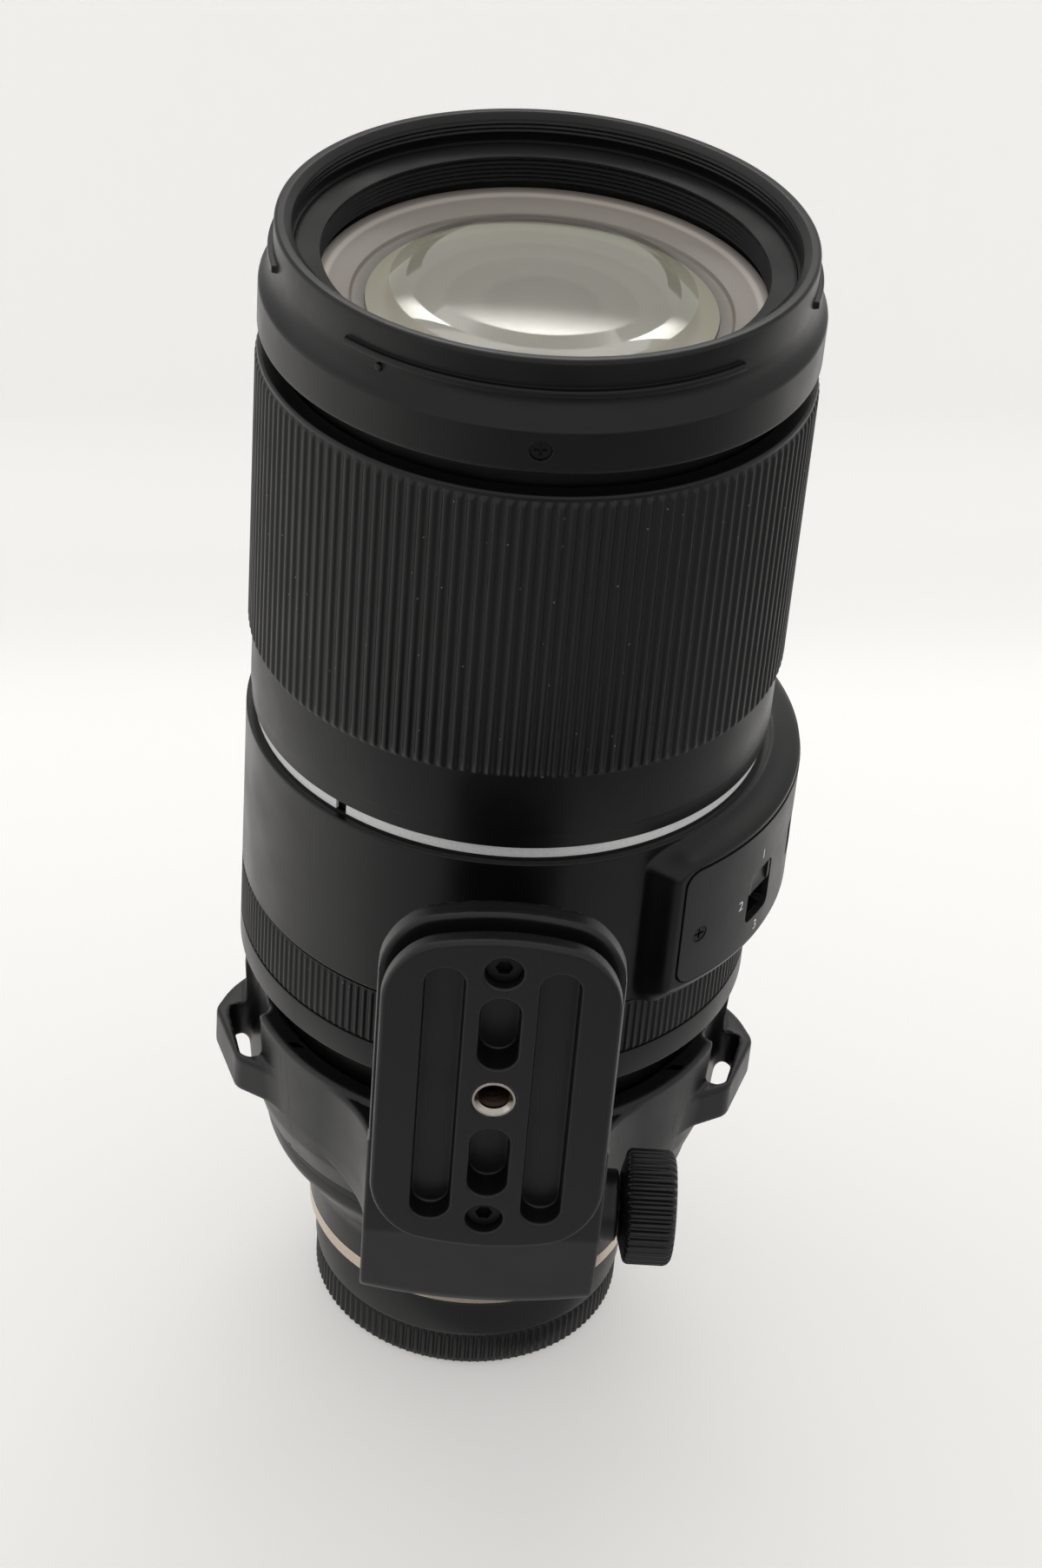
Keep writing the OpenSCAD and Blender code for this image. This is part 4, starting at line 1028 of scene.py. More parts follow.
    def build_trim(self, shop: Workshop) -> None:
        """Turns the sloped ring that holds the glass, with the ribs of its light trap below the lip.

        Args:
            shop: Workshop that takes the pieces.
        """
        inner_z = self.trim_top - self.trim_slope
        low = self.glass_z + self.trap_gap
        trap_z = np.linspace(inner_z - self.trap_lip, low, self.trap_points)
        trap = [(self.trim_r + self.trap_depth * (i % 2), z, 0.0) for i, z in enumerate(trap_z)]
        corners = [
            (self.tube_in, self.trim_seat, 0.0),
            (self.tube_in, self.trim_top, 0.2),
            (self.tube_in - self.trim_flat, self.trim_top, 0.3),
            (self.trim_r, inner_z, 0.2),
            *trap,
            (self.glass_r, low, 0.0),
            (self.glass_r, self.trim_seat, 0.0),
        ]
        trim = turned(fillet(corners, 4), 1.5)
        shop.add("front_trim_turning", [trim], Body.FRONT, "trim_black", ["front_trim_ring"], sharp=25)

    def face(self, r: Array, top: Array, back: Array) -> Shell:
        """Turns a glass face with a closed back.

        Args:
            r: Radii from the axis out.
            top: Height of the face at each radius.
            back: Height of the back at each radius.

        Returns:
            The closed face.
        """
        profile_r = np.concatenate([r, r[::-1]])
        profile_z = np.concatenate([top, back[::-1]])
        return grid_shell(spin(profile_r, profile_z, np.arange(0, 360, 2.0)), False, True)

    def dome(self, radius: float, edge_z: float, sag: float, samples: int) -> tuple[Array, Array]:
        """Radius and height along a dome, which falls as the square of the distance from the axis."""
        r = np.linspace(0, radius, samples)
        return r, edge_z + sag * (1 - (r / radius) ** 2)

    def rear_face(self) -> Shell:
        """The rear face of the front element.

        Inside it is a shallow dome. Round that, behind a step, runs a bevel, whose slope grows outwards.

        Returns:
            The closed face.
        """
        r, z = self.dome(self.rear_face_r, self.rear_face_z, self.rear_face_sag, 40)
        outer = np.linspace(self.bevel_in, self.bevel_out, 16)
        reach = outer - self.bevel_in
        curve = self.bevel_curve * reach**2 / (self.bevel_out - self.bevel_in)
        start = z[-1] - self.step_slope * (self.bevel_in - self.rear_face_r)
        z = np.concatenate([z, start - self.bevel_slope * reach - curve])
        return self.face(np.concatenate([r, outer]), z, z - self.rear_face_t)

    def build_glass(self, shop: Workshop) -> None:
        """Makes the front element as a clear coated face over the glass group and the cell's wall.

        Args:
            shop: Workshop that takes the pieces.
        """
        r, top = self.dome(self.glass_r - self.glass_gap, self.glass_z, self.glass_sag, 48)
        front = self.face(r, top, top - self.glass_t)
        shop.add("front_element", [front], Body.FRONT, "front_glass", ["front_glass"])
        rear = self.rear_face()
        shop.add("front_element_rear_face", [rear], Body.FRONT, "front_glass", finish=REAR_FACE, sharp=4)
        # The glass group's rings of colour are painted reflection
        r, top = self.dome(self.group_r, self.group_z, self.group_sag, 48)
        group = self.face(r, top, np.full(len(r), self.seat_z))
        shop.add("second_group_faces", [group], Body.FRONT, "front_glass", finish=SECOND_GROUP)
        # The cell wall's warm grey is painted reflection, and its pale ring a painted highlight
        wall = fillet(
            [
                (self.group_r + 0.05, self.seat_z, 0.0),
                (self.group_r + 0.05, self.group_z - 0.4, 0.0),
                (self.group_r + 2.2, self.group_z - 0.3, 0.4),
                (self.group_r + 2.6, self.group_z + 0.3, 0.2),
                (self.wall_r, self.glass_z - 0.9, 0.0),
                (self.wall_r, self.seat_z, 0.0),
            ],
            4,
        )
        shop.add("cell_wall_face", [turned(wall, 2.0)], Body.FRONT, "front_glass", finish=CELL_WALL)


@dataclass
class ZoomRing:
    """Zoom ring with its smooth band and ribbed rubber."""

    base_z: float = 138.0
    top_z: float = 206.5
    band_top: float = 152.9
    band_r: float = 45.8
    inner_r: float = 43.2
    skirt_r: float = 43.95
    skirt_z: float = 108.6
    lip_in: float = 45.1
    seat_r: float = 45.0
    crest_r: float = 46.6
    step_h: float = 3.1
    step_in: float = 0.25
    lip_h: float = 1.0
    lip_out: float = 0.5
    ribs: tuple[int, int] = (144, 14)
    rib_h: float = 0.45
    rib_run: float = 1.1
    rib_ends: tuple[float, ...] = (0.0, 0.05, 0.15, 0.35, 0.6, 0.9, 1.3)

    def build(self, shop: Workshop) -> None:
        """Turns the ring and wraps the ribbed rubber round it.

        Args:
            shop: Workshop that takes the pieces.
        """
        step_z = self.base_z + self.step_h
        step_r = self.band_r - self.step_in
        lip_z, lip_r = self.top_z - self.lip_h, self.band_r + self.lip_out
        corners = [
            (self.inner_r, self.skirt_z, 0.0),
            (self.skirt_r, self.skirt_z, 0.2),
            (self.skirt_r, step_z, 0.0),
            (self.lip_in, step_z, 0.0),
            (self.lip_in, self.base_z, 0.1),
            (step_r, self.base_z, 0.3),
            (step_r, step_z - 0.1, 0.1),
            (self.band_r, step_z + 0.1, 0.1),
            (self.band_r, self.band_top, 0.15),
            (self.seat_r, self.band_top, 0.0),
            (self.seat_r, lip_z, 0.0),
            (lip_r, lip_z, 0.15),
            (lip_r, self.top_z, 0.5),
            (self.inner_r, self.top_z, 0.3),
        ]
        ring = turned(fillet(corners), 1.0)
        shop.add("zoom_ring_moulding", [ring], Body.ZOOM, "ring_plastic", ["zoom_ring"])
        span = (self.band_top, lip_z)
        grip = ribbed_band(
            self.seat_r, self.crest_r, self.rib_h, span, self.rib_ends, self.rib_run, self.ribs
        )
        shop.add("zoom_grip_rubber", [grip], Body.ZOOM, "grip_rubber", ["zoom_grip"])


@dataclass
class FocusRing:
    """Focus ring with its smooth band and ribbed rubber."""

    base_z: float = 84.7
    top_z: float = 102.0
    band_top: float = 90.5
    outer_r: float = 46.5
    bore_r: float = 41.2
    hollow_r: float = 43.0
    seat_r: float = 45.2
    flange_h: float = 2.0
    flange_slope: float = 1.0
    ribs: tuple[int, int] = (198, 12)
    rib_h: float = 0.38
    rib_run: float = 0.7
    rib_ends: tuple[float, ...] = (0.0, 0.05, 0.15, 0.3, 0.5, 0.8)

    def build(self, shop: Workshop) -> None:
        """Turns the ring and wraps the ribbed rubber round it.

        Args:
            shop: Workshop that takes the pieces.
        """
        corners = [
            (self.bore_r, self.base_z, 0.0),
            (self.outer_r, self.base_z, 0.5),
            (self.outer_r, self.band_top, 0.15),
            (self.seat_r, self.band_top, 0.0),
            (self.seat_r, self.top_z, 0.0),
            (self.bore_r, self.top_z, 0.0),
            (self.bore_r, self.top_z - self.flange_h, 0.0),
            (self.hollow_r, self.top_z - self.flange_h - self.flange_slope, 0.0),
            (self.hollow_r, self.base_z + self.flange_h + self.flange_slope, 0.0),
            (self.bore_r, self.base_z + self.flange_h, 0.0),
        ]
        ring = turned(fillet(corners), 1.0)
        shop.add("focus_ring_moulding", [ring], Body.FOCUS, "ring_plastic", ["focus_ring"])
        span = (self.band_top, self.top_z)
        grip = ribbed_band(
            self.seat_r, self.outer_r, self.rib_h, span, self.rib_ends, self.rib_run, self.ribs
        )
        shop.add("focus_grip_rubber", [grip], Body.FOCUS, "grip_rubber", ["focus_grip"])


@dataclass
class MainBarrel:
    """Main barrel with its switch boss, which swells smoothly out of the round wall."""

    base_z: float = 102.6
    top_z: float = 135.3
    outer_r: float = 46.5
    bore_r: float = 45.0
    neck_r: float = 44.9
    neck_in: float = 44.25
    neck_z: float = 135.7
    boss_r: float = 51.8
    foot_r: float = 48.8
    boss_edge: float = 1.0
    boss_run: float = 5.4
    boss_drop: float = 2.4
    row_step: float = 0.26
    wall_h: float = 32.0
    boss_az: float = 90.0
    boss_reach: float = 66.0
    foot_gap: float = 0.3
    foot_run: float = 5.2
    plate_half: float = 53.4
    plate_z: float = 107.5
    plate_h: float = 24.0
    plate_seat: float = 50.8
    plate_corner: float = 3.15
    plate_gap: float = 0.18
    slot_floor: float = 47.9
    slot_w: float = 8.2
    slot_top: float = 122.5
    slot_corner: float = 1.4
    slot_l: tuple[float, ...] = (10.4, 7.6, 7.6, 10.4)
    switch_az: tuple[float, ...] = (60.0, 80.0, 100.0, 120.0)

    def wall(self, azimuth: Array, z: Array) -> Array:
        """Outer radius over azimuth and height.

        The boss falls off outside a round-cornered outline just past the plate, as a smooth step of the
        distance to it, over a wider run at the sides than on top. It tapers at the foot. The plate's pocket
        and the switch slots are sunk into it.

        Args:
            azimuth: Azimuths in degrees.
            z: Heights.

        Returns:
            Radius at each height and azimuth.
        """
        beta = np.abs(away(azimuth, self.boss_az))[None, :]
        past = np.radians(beta - self.plate_half) * self.boss_r - self.boss_edge
        above = (z - self.plate_z - self.plate_h - self.boss_edge)[:, None]
        out = np.hypot(np.maximum(past / self.boss_run + 1, 0), np.maximum(above / self.boss_drop + 1, 0)) - 1
        rise = self.boss_r - self.outer_r
        below = smooth_step((self.plate_z - self.foot_gap - z) / self.foot_run)[:, None]
        foot = 1 - below * (self.boss_r - self.foot_r) / rise
        radius = self.outer_r + rise * (1 - smooth_step(out)) * foot
        arc = np.radians(beta) * self.boss_r
        half = math.radians(self.plate_half) * self.boss_r + self.plate_gap
        mid = self.plate_z + self.plate_h / 2
        pocket = box_2d(arc, (z - mid)[:, None], half, self.plate_h / 2 + self.plate_gap, self.plate_corner)
        radius = np.where(pocket < 0, self.plate_seat, radius)
        for middle, length in zip(self.switch_az, self.slot_l):
            across = np.radians(away(azimuth, middle))[None, :] * self.plate_seat
            up = (z - self.slot_top + length / 2)[:, None]
            slot = box_2d(across, up, self.slot_w / 2, length / 2, self.slot_corner)
            radius = np.where(slot < 0, self.slot_floor, radius)
        return radius

    def build(self, shop: Workshop) -> None:
        """Makes the barrel as one closed surface: outer wall, rim, neck and bore.

        Args:
            shop: Workshop that takes the pieces.
        """
        azimuth = fine_azimuths(1.5, [(self.boss_az, self.boss_reach, 0.3)])
        rows = np.arange(0.4, self.wall_h - 0.1, self.row_step)
        z = np.concatenate([[0.0, 0.06, 0.2], rows, [self.wall_h]]) + self.base_z
        wall = self.wall(azimuth, z)
        # The first two rows round the lower edge
        wall[0] -= 0.2
        wall[1] -= 0.06
        rim = fillet(
            [
                (self.outer_r, z[-1], 0.0),
                (self.outer_r, self.top_z, 0.7),
                (self.neck_r, self.top_z, 0.0),
            ]
        )
        inner = np.array(
            [
                [self.neck_r, self.neck_z],
                [self.neck_in, self.neck_z],
                [self.neck_in, self.top_z - 4.3],
                [self.bore_r, self.top_z - 5],
                [self.bore_r, self.base_z],
            ]
        )
        rest = np.concatenate([rim[1:], inner])
        radius = np.concatenate([wall, np.repeat(rest[:, :1], len(azimuth), axis=1)])
        height = np.concatenate([z, rest[:, 1]])
        shell = grid_shell(spin(radius, height, azimuth), True, True)
        shop.add("main_barrel_moulding", [shell], Body.BARREL, "barrel_plastic", ["main_barrel"], sharp=35)


@dataclass
class SwitchMarks:
    """Printed numbers beside the mode switch."""

    plate_r: float = 52.0
    lift: float = 0.02
    height: float = 2.0
    cap_share: float = 0.7
    places: tuple[tuple[str, float, float], ...] = (
        ("1", 60.0, 124.4),
        ("2", 53.2, 116.6),
        ("3", 60.0, 108.9),
    )

    def print_shell(self, text: str, azimuth: float, z: float) -> tuple[Array, list[tuple[int, ...]]]:
        """Lays flat characters onto the panel.

        The distance along the line of text becomes an angle round the optical axis.

        Args:
            text: Characters.
            azimuth: Azimuth of their middle.
            z: Height of their foot.

        Returns:
            Points and faces.
        """
        curve = bpy.data.curves.new("print", "FONT")
        curve.body = text
        curve.align_x = "CENTER"
        curve.size = self.height / self.cap_share
        holder = bpy.data.objects.new("print", curve)
        flat = holder.to_mesh()
        co = np.zeros(len(flat.vertices) * 3, np.float32)
        flat.vertices.foreach_get("co", co)
        co = co.reshape(-1, 3).astype(float)
        faces = [tuple(p.vertices) for p in flat.polygons]
        holder.to_mesh_clear()
        bpy.data.objects.remove(holder)
        bpy.data.curves.remove(curve)
        turn = math.radians(azimuth) + co[:, 0] / self.plate_r
        r = self.plate_r + self.lift
        return np.stack([r * np.sin(turn), -r * np.cos(turn), z + co[:, 1]], axis=-1), faces

    def build(self, shop: Workshop) -> None:
        """Prints the numbers as one thin piece.

        Args:
            shop: Workshop that holds the materials.
        """
        points: list[Array] = []
        faces: list[tuple[int, ...]] = []
        for text, azimuth, z in self.places:
            start = sum(len(p) for p in points)
            p, f = self.print_shell(text, azimuth, z)
            points.append(p)
            faces += [tuple(i + start for i in face) for face in f]
        mesh = bpy.data.meshes.new("switch_numbers")
        mesh.from_pydata((np.concatenate(points) * MM).tolist(), [], faces)
        mesh.materials.append(shop.material(MARK))
        piece = link("switch_numbers", mesh)
        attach(piece, Body.BARREL.value)
        log.info("switch_numbers: %d faces", len(faces))


@dataclass
class RearBarrel:
    """Rear barrel that narrows from the collar's seat to the mount."""

    base_z: float = 21.8
    top_z: float = 46.0
    mount_r: float = 31.7
    flange_z: float = 19.35
    rim_z: float = 18.75
    rim_in: float = 29.5
    seat_r: float = 40.8
    bore_r: float = 38.8
    throat_r: float = 19.5
    waist_h: float = 8.0
    waist_round: float = 8.0
    shoulder_h: float = 3.0
    shoulder_round: float = 4.0
    wall: float = 2.0
    floor_h: float = 3.0
    rim_gap: float = 0.04
    rim_lap: float = 0.5

    def build(self, shop: Workshop) -> None:
        """Turns the barrel with soft transitions, and the edge of the mount ring under it.

        Args:
            shop: Workshop that takes the pieces.
        """
        corners = [
            (self.throat_r, self.base_z, 0.0),
            (self.mount_r, self.base_z, 0.3),
            (self.mount_r, self.base_z + self.waist_h, self.waist_round),
            (self.seat_r, self.top_z - self.shoulder_h, self.shoulder_round),
            (self.seat_r, self.top_z, 0.2),
            (self.bore_r, self.top_z, 0.0),
            (self.bore_r, self.top_z - self.shoulder_h - 0.6, 0.0),
            (self.mount_r - self.wall, self.base_z + self.waist_h + 0.8, 0.0),
            (self.mount_r - self.wall, self.base_z + self.floor_h, 0.0),
            (self.throat_r, self.base_z + self.floor_h, 0.0),
        ]
        barrel = turned(fillet(corners, 10), 1.5)
        shop.add("rear_barrel_moulding", [barrel], Body.BARREL, "barrel_plastic", ["rear_barrel"])
        rim_r, rim_top = self.mount_r - self.rim_gap, self.flange_z + self.rim_lap
        corners = [
            (self.rim_in, self.rim_z, 0.0),
            (rim_r, self.rim_z, 0.25),
            (rim_r, rim_top, 0.0),
            (self.rim_in, rim_top, 0.0),
        ]
        shop.add("mount_flange_rim", [turned(fillet(corners, 5), 1.5)], Body.BARREL, "mount_metal")


@dataclass
class TripodCollar:
    """Collar casting with its neck, arm, strap lugs and the boss of the clamp knob."""

    low_z: float = 48.6
    top_z: float = 76.0
    bore_r: float = 41.6
    low_r: float = 42.0
    mid_r: float = 44.0
    top_r: float = 45.5
    chamfer_z: float = 54.6
    chamfer_run: float = 4.0
    ring_edge: float = 0.9
    neck_root: float = 25.0
    neck_fillet: float = 9.0
    neck_edge: float = 0.6
    nose_d: float = 66.9
    nose_z: float = 55.3
    # Cosine and sine of the lean of the front
    nose_slope: tuple[float, float] = (0.968, 0.2506)
    nose_round: float = 4.0
    under_gap: float = 0.3
    under_rise: float = 0.0556
    # Turns the height over the sloped underside into a distance
    under_scale: float = 0.98
    under_bow: float = 65.4
    arm_d: float = 72.0
    arm_back: float = 68.0
    arm_half: float = 20.25
    arm_mid_z: float = 111.0
    arm_l: float = 67.6
    arm_end_z: float = 95.0
    arm_edge: float = 0.7
    inner_drop: float = 1.0
    inner_round: float = 8.0
    inner_edge: float = 0.8
    bow: float = 48.0
    corner: float = 8.5
    # Azimuth and radius of each corner
    lug_plan: tuple[tuple[float, float], ...] = (
        (58.5, 44.6),
        (67.3, 49.4),
        (84.0, 50.8),
        (91.0, 48.2),
        (98.0, 44.6),
    )
    lug_root: float = 36.0
    lug_round: float = 0.8
    lug_edge: float = 0.6
    lug_fillet: float = 1.2
    lug_az: float = 76.0
    lug_z: float = 66.0
    lug_low: float = 58.4
    strap_taper: float = 0.13
    strap_r: float = 45.25
    strap_w: float = 5.3
    strap_l: float = 15.0
    strap_corner: float = 2.0
    strap_edge: float = 0.4
    slit_x: float = 14.6
    slit_half: float = 0.6
    slit_d: float = 64.0
    bore_edge: float = 0.5
    boss_r: float = 6.4
    boss_x: float = 20.0
    boss_half: float = 4.1
    boss_edge: float = 0.6
    boss_fillet: float = 1.5
    knob_y: float = -53.6
    knob_z: float = 66.8
    split_y: float = -26.5
    overlap: float = 1.2
    # Grids that hold the two parts of the casting, each 3 mm past the split
    neck_box: tuple[tuple[float, ...], ...] = ((-47.5, -73.5, 47.5), (47.5, -23.5, 146.5))
    ring_box: tuple[tuple[float, ...], ...] = ((-52.5, -29.5, 47.5), (52.5, 47.0, 77.5))
    cell_front: float = 0.5
    cell_back: float = 0.55

    def ring_radius(self, z: Array) -> Array:
        """Outer radius of the ring, which widens upwards."""
        heights = [self.low_z, self.chamfer_z, self.chamfer_z + self.chamfer_run, self.top_z]
        return np.interp(z, heights, [self.low_r, self.mid_r - 0.1, self.mid_r + 0.4, self.top_r])

    def ring_field(self, r: Array, z: Array) -> Array:
        """Distance to the ring, with round edges."""
        half = (self.top_z - self.low_z) / 2
        return round_and(r - self.ring_radius(z), np.abs(z - self.low_z - half) - half, self.ring_edge)

    def neck_field(self, x: Array, q: Array, r: Array, z: Array) -> Array:
        """Distance to the neck and the arm, where q is the distance from the axis towards the foot.

        In plan the neck runs out of the ring in two wide fillets. From the side it has a sloped front, a
        round lower edge and a rising underside, which bows up towards the sides, and what is behind the arm
        and above the neck is cut away with a round corner. The arm's upper end is bowed.

        Args:
            x: Width.
            q: Distance towards the foot.
            r: Distance from the optical axis.
            z: Height.

        Returns:
            Distance.
        """
        plan = np.maximum(np.abs(x) - self.arm_half, self.neck_root - q)
        plan = round_or(r - self.ring_radius(z), plan, self.neck_fillet)
        out, up = self.nose_slope
        front = np.maximum((q - self.nose_d) * out - (z - self.nose_z) * up, q - self.arm_d)
        underside = self.low_z - self.under_gap + self.under_rise * q + x**2 / (2 * self.under_bow)
        under = (underside - z) * self.under_scale
        shape = round_and(plan, round_and(front, under, self.nose_round), self.neck_edge)
        above = round_and(q - self.arm_back, self.top_z - self.inner_drop - z, self.inner_round)
        shape = round_cut(shape, above, self.inner_edge)
        end = np.hypot(x, np.maximum(z - self.arm_mid_z - self.arm_l / 2 + self.bow, 0)) - self.bow
        end = round_and(end, np.abs(x) - self.arm_half, self.corner)
        return round_and(shape, np.where(z > self.arm_end_z, end, DEEP_MM), self.arm_edge)

    def lug_field(self, x: Array, y: Array, z: Array) -> Array:
        """Distance to a strap lug on the +X side, before its slot is cut.

        The lug is the common part of straight sides, a flat top and a flat underside.

        Args:
            x: Width, taken as positive.
            y: Depth.
            z: Height.

        Returns:
            Distance.
        """
        azimuth, radius = np.array(self.lug_plan).T
        a = np.radians(azimuth)
        px, py = radius * np.sin(a), -radius * np.cos(a)
        side = np.full(np.shape(x), -1e3)
        for i in range(len(radius) - 1):
            ex, ey = px[i + 1] - px[i], py[i + 1] - py[i]
            length = math.hypot(ex, ey)
            side = round_and(side, ((x - px[i]) * ey - (y - py[i]) * ex) / length, self.lug_round)
        side = np.maximum(side, self.lug_root - x)
        half = (self.lug_z - self.lug_low) / 2
        return round_and(side, np.abs(z - self.lug_low - half) - half, self.lug_edge)

    def casting(self, x: Array, y: Array, z: Array) -> Array:
        """Distance to the casting: ring, neck, arm, lugs and boss joined with fillets, less its cuts.

        Args:
            x: Width.
            y: Depth.
            z: Height.

        Returns:
            Distance.
        """
        r = np.hypot(x, y)
        shape = self.ring_field(r, z)
        shape = np.minimum(shape, self.neck_field(x, -y, r, z))
        shape = round_or(shape, self.lug_field(np.abs(x), y, z), self.lug_fillet)
        boss = np.hypot(y - self.knob_y, z - self.knob_z) - self.boss_r
        boss = round_and(boss, np.abs(x - self.boss_x) - self.boss_half, self.boss_edge)
        shape = round_or(shape, boss, self.boss_fillet)
        a = math.radians(self.lug_az)
        out = np.abs(x) * math.sin(a) - y * math.cos(a) - self.strap_r
        along = np.abs(x) * math.cos(a) + y * math.sin(a)
        strap = self.strap_w / 2 - self.strap_taper * np.maximum(self.lug_z - z, 0)
        slot = box_2d(out, along, strap, self.strap_l / 2, self.strap_corner)
        shape = round_cut(shape, slot, self.strap_edge)
        slit = np.maximum(np.maximum(np.abs(x - self.slit_x) - self.slit_half, -y - self.slit_d), y)
        shape = np.maximum(shape, -slit)
        return round_cut(shape, r - self.bore_r, self.bore_edge)

    def build(self, shop: Workshop) -> None:
        """Wraps the casting's surface in two parts, the one with the neck and arm more finely.

        Args:
            shop: Workshop that takes the pieces.
        """

        def front(x: Array, y: Array, z: Array) -> Array:
            """Distance to the casting's part with the neck and arm."""
            return np.maximum(self.casting(x, y, z), y - self.split_y - self.overlap)

        def back(x: Array, y: Array, z: Array) -> Array:
            """Distance to the rest of the casting."""
            return np.maximum(self.casting(x, y, z), self.split_y - self.overlap - y)

        neck = field_shell(front, *self.neck_box, self.cell_front)
        shop.add("collar_neck_casting", [neck], Body.COLLAR, "collar_alloy", ["tripod_collar"], sharp=50)
        ring = field_shell(back, *self.ring_box, self.cell_back)
        shop.add("collar_ring_casting", [ring], Body.COLLAR, "collar_alloy", sharp=50)


@dataclass
class TripodFoot:
    """Dovetail pad of the foot with its slots, and its threaded bush."""

    face_d: float = 78.0
    thick: float = 6.0
    half_w: float = 19.4
    length: float = 66.0
    mid_z: float = 111.0
    bow: float = 48.0
    corner: float = 8.5
    neck_half_w: float = 16.5
    neck_l: float = 60.2
    slot_half: float = 3.25
    slot_depth: float = 4.2
    short_depth: float = 5.5
    long_x: float = 9.25
    long_l: float = 53.8
    short_z: float = 13.85
    short_l: float = 14.8
    screw_z: float = 26.5
    screw_r: float = 3.08
    face_edge: float = 0.9
    under_edge: float = 0.3
    neck_lap: float = 0.5
    neck_corner: float = 6.5
    slot_edge: float = 0.5
    floor_edge: float = 0.3
    bush_edge: float = 0.2
    bush_r: float = 3.7
    bush_back: float = 69.5
    bush_wall: float = 0.5
    thread_r: float = 2.55
    thread_depth: float = 0.45
    thread_pitch: float = 1.27
    thread_from: float = 1.4
    thread_points: int = 10
    box: tuple[tuple[float, ...], ...] = ((-20.2, -79.0, 77.0), (20.2, -71.2, 145.0))
    cell: float = 0.34

    def outline(self, x: Array, v: Array, half: float, length: float, corner: float) -> Array:
        """Distance to a plate's outline: straight sides and bowed ends that meet in round corners."""
        end = np.hypot(x, np.abs(v) - length / 2 + self.bow) - self.bow
        return round_and(end, np.abs(x) - half, corner)

    def pad(self, x: Array, y: Array, z: Array) -> Array:
        """Distance to the pad: a wide face over a narrower dovetail neck, less its slots and holes.

        Args:
            x: Width.
            y: Depth.
            z: Height.

        Returns:
            Distance.
        """
        q, v = -y, z - self.mid_z
        mid = self.face_d - self.thick / 2
        face = self.outline(x, v, self.half_w, self.length, self.corner)
        face = round_and(face, q - self.face_d, self.face_edge)
        face = round_and(face, mid - q, self.under_edge)
        neck = np.maximum(
            self.outline(x, v, self.neck_half_w, self.neck_l, self.neck_corner),
            np.maximum(q - mid - self.neck_lap, self.face_d - self.thick - q),
        )
        shape = np.minimum(face, neck)
        middle = (np.abs(x) < self.long_x - self.slot_half) & (np.abs(v) < self.screw_z - self.screw_r)
        floor = self.face_d - np.where(middle, self.short_depth, self.slot_depth) - q
        slots = np.minimum(
            box_2d(np.abs(x) - self.long_x, v, self.slot_half, self.long_l / 2, self.slot_half),
            box_2d(x, np.abs(v) - self.short_z, self.slot_half, self.short_l / 2, self.slot_half),
        )
        slots = np.minimum(slots, np.hypot(x, np.abs(v) - self.screw_z) - self.screw_r)
        shape = round_cut(shape, round_and(slots, floor, self.floor_edge), self.slot_edge)
        return round_cut(shape, np.hypot(x, v) - self.bush_r, self.bush_edge)

    def build(self, shop: Workshop) -> None:
        """Wraps the pad and turns the bush with its countersink and thread.

        Args:
            shop: Workshop that takes the pieces.
        """
        pad = field_shell(self.pad, *self.box, self.cell)
        shop.add("foot_pad", [pad], Body.COLLAR, "collar_alloy", ["tripod_foot"], sharp=50)
        bore = self.thread_r + self.bush_wall
        around = np.arange(0, 360, 6.0)
        at = (0, 0, self.mid_z)
        rows = [
            (bore, self.bush_back),
            (self.bush_r, self.bush_back),
            (self.bush_r, self.face_d - 0.3),
            (self.bush_r - 0.15, self.face_d - 0.15),
            (self.bush_r - 0.5, self.face_d - 0.15),
            (self.thread_r + 0.07, self.face_d - 1.0),
            (bore, self.face_d - 1.2),
        ]
        r, y = np.array(rows).T
        ring = grid_shell(spin(r, y, around, Axis.FOOT, at), True, True)
        shop.add("bush_ring", [ring], Body.COLLAR, "bush_steel", ["tripod_bush"], sharp=25)
        teeth = np.arange(self.thread_points)
        thread_r = self.thread_r + self.thread_depth * (teeth % 2)
        thread_y = self.face_d - self.thread_from - teeth * self.thread_pitch / 2
        core, back = bore - 0.02, self.bush_back + 0.1
        r = np.concatenate([[0.0, core, core], thread_r, [0.0]])
        y = np.concatenate([[back, back, self.face_d - 1.3], thread_y, [back + 1.0]])
        thread = grid_shell(spin(r, y, around, Axis.FOOT, at), False, True)
        shop.add("bush_thread", [thread], Body.COLLAR, "bush_steel", finish=OILED_STEEL, sharp=25)


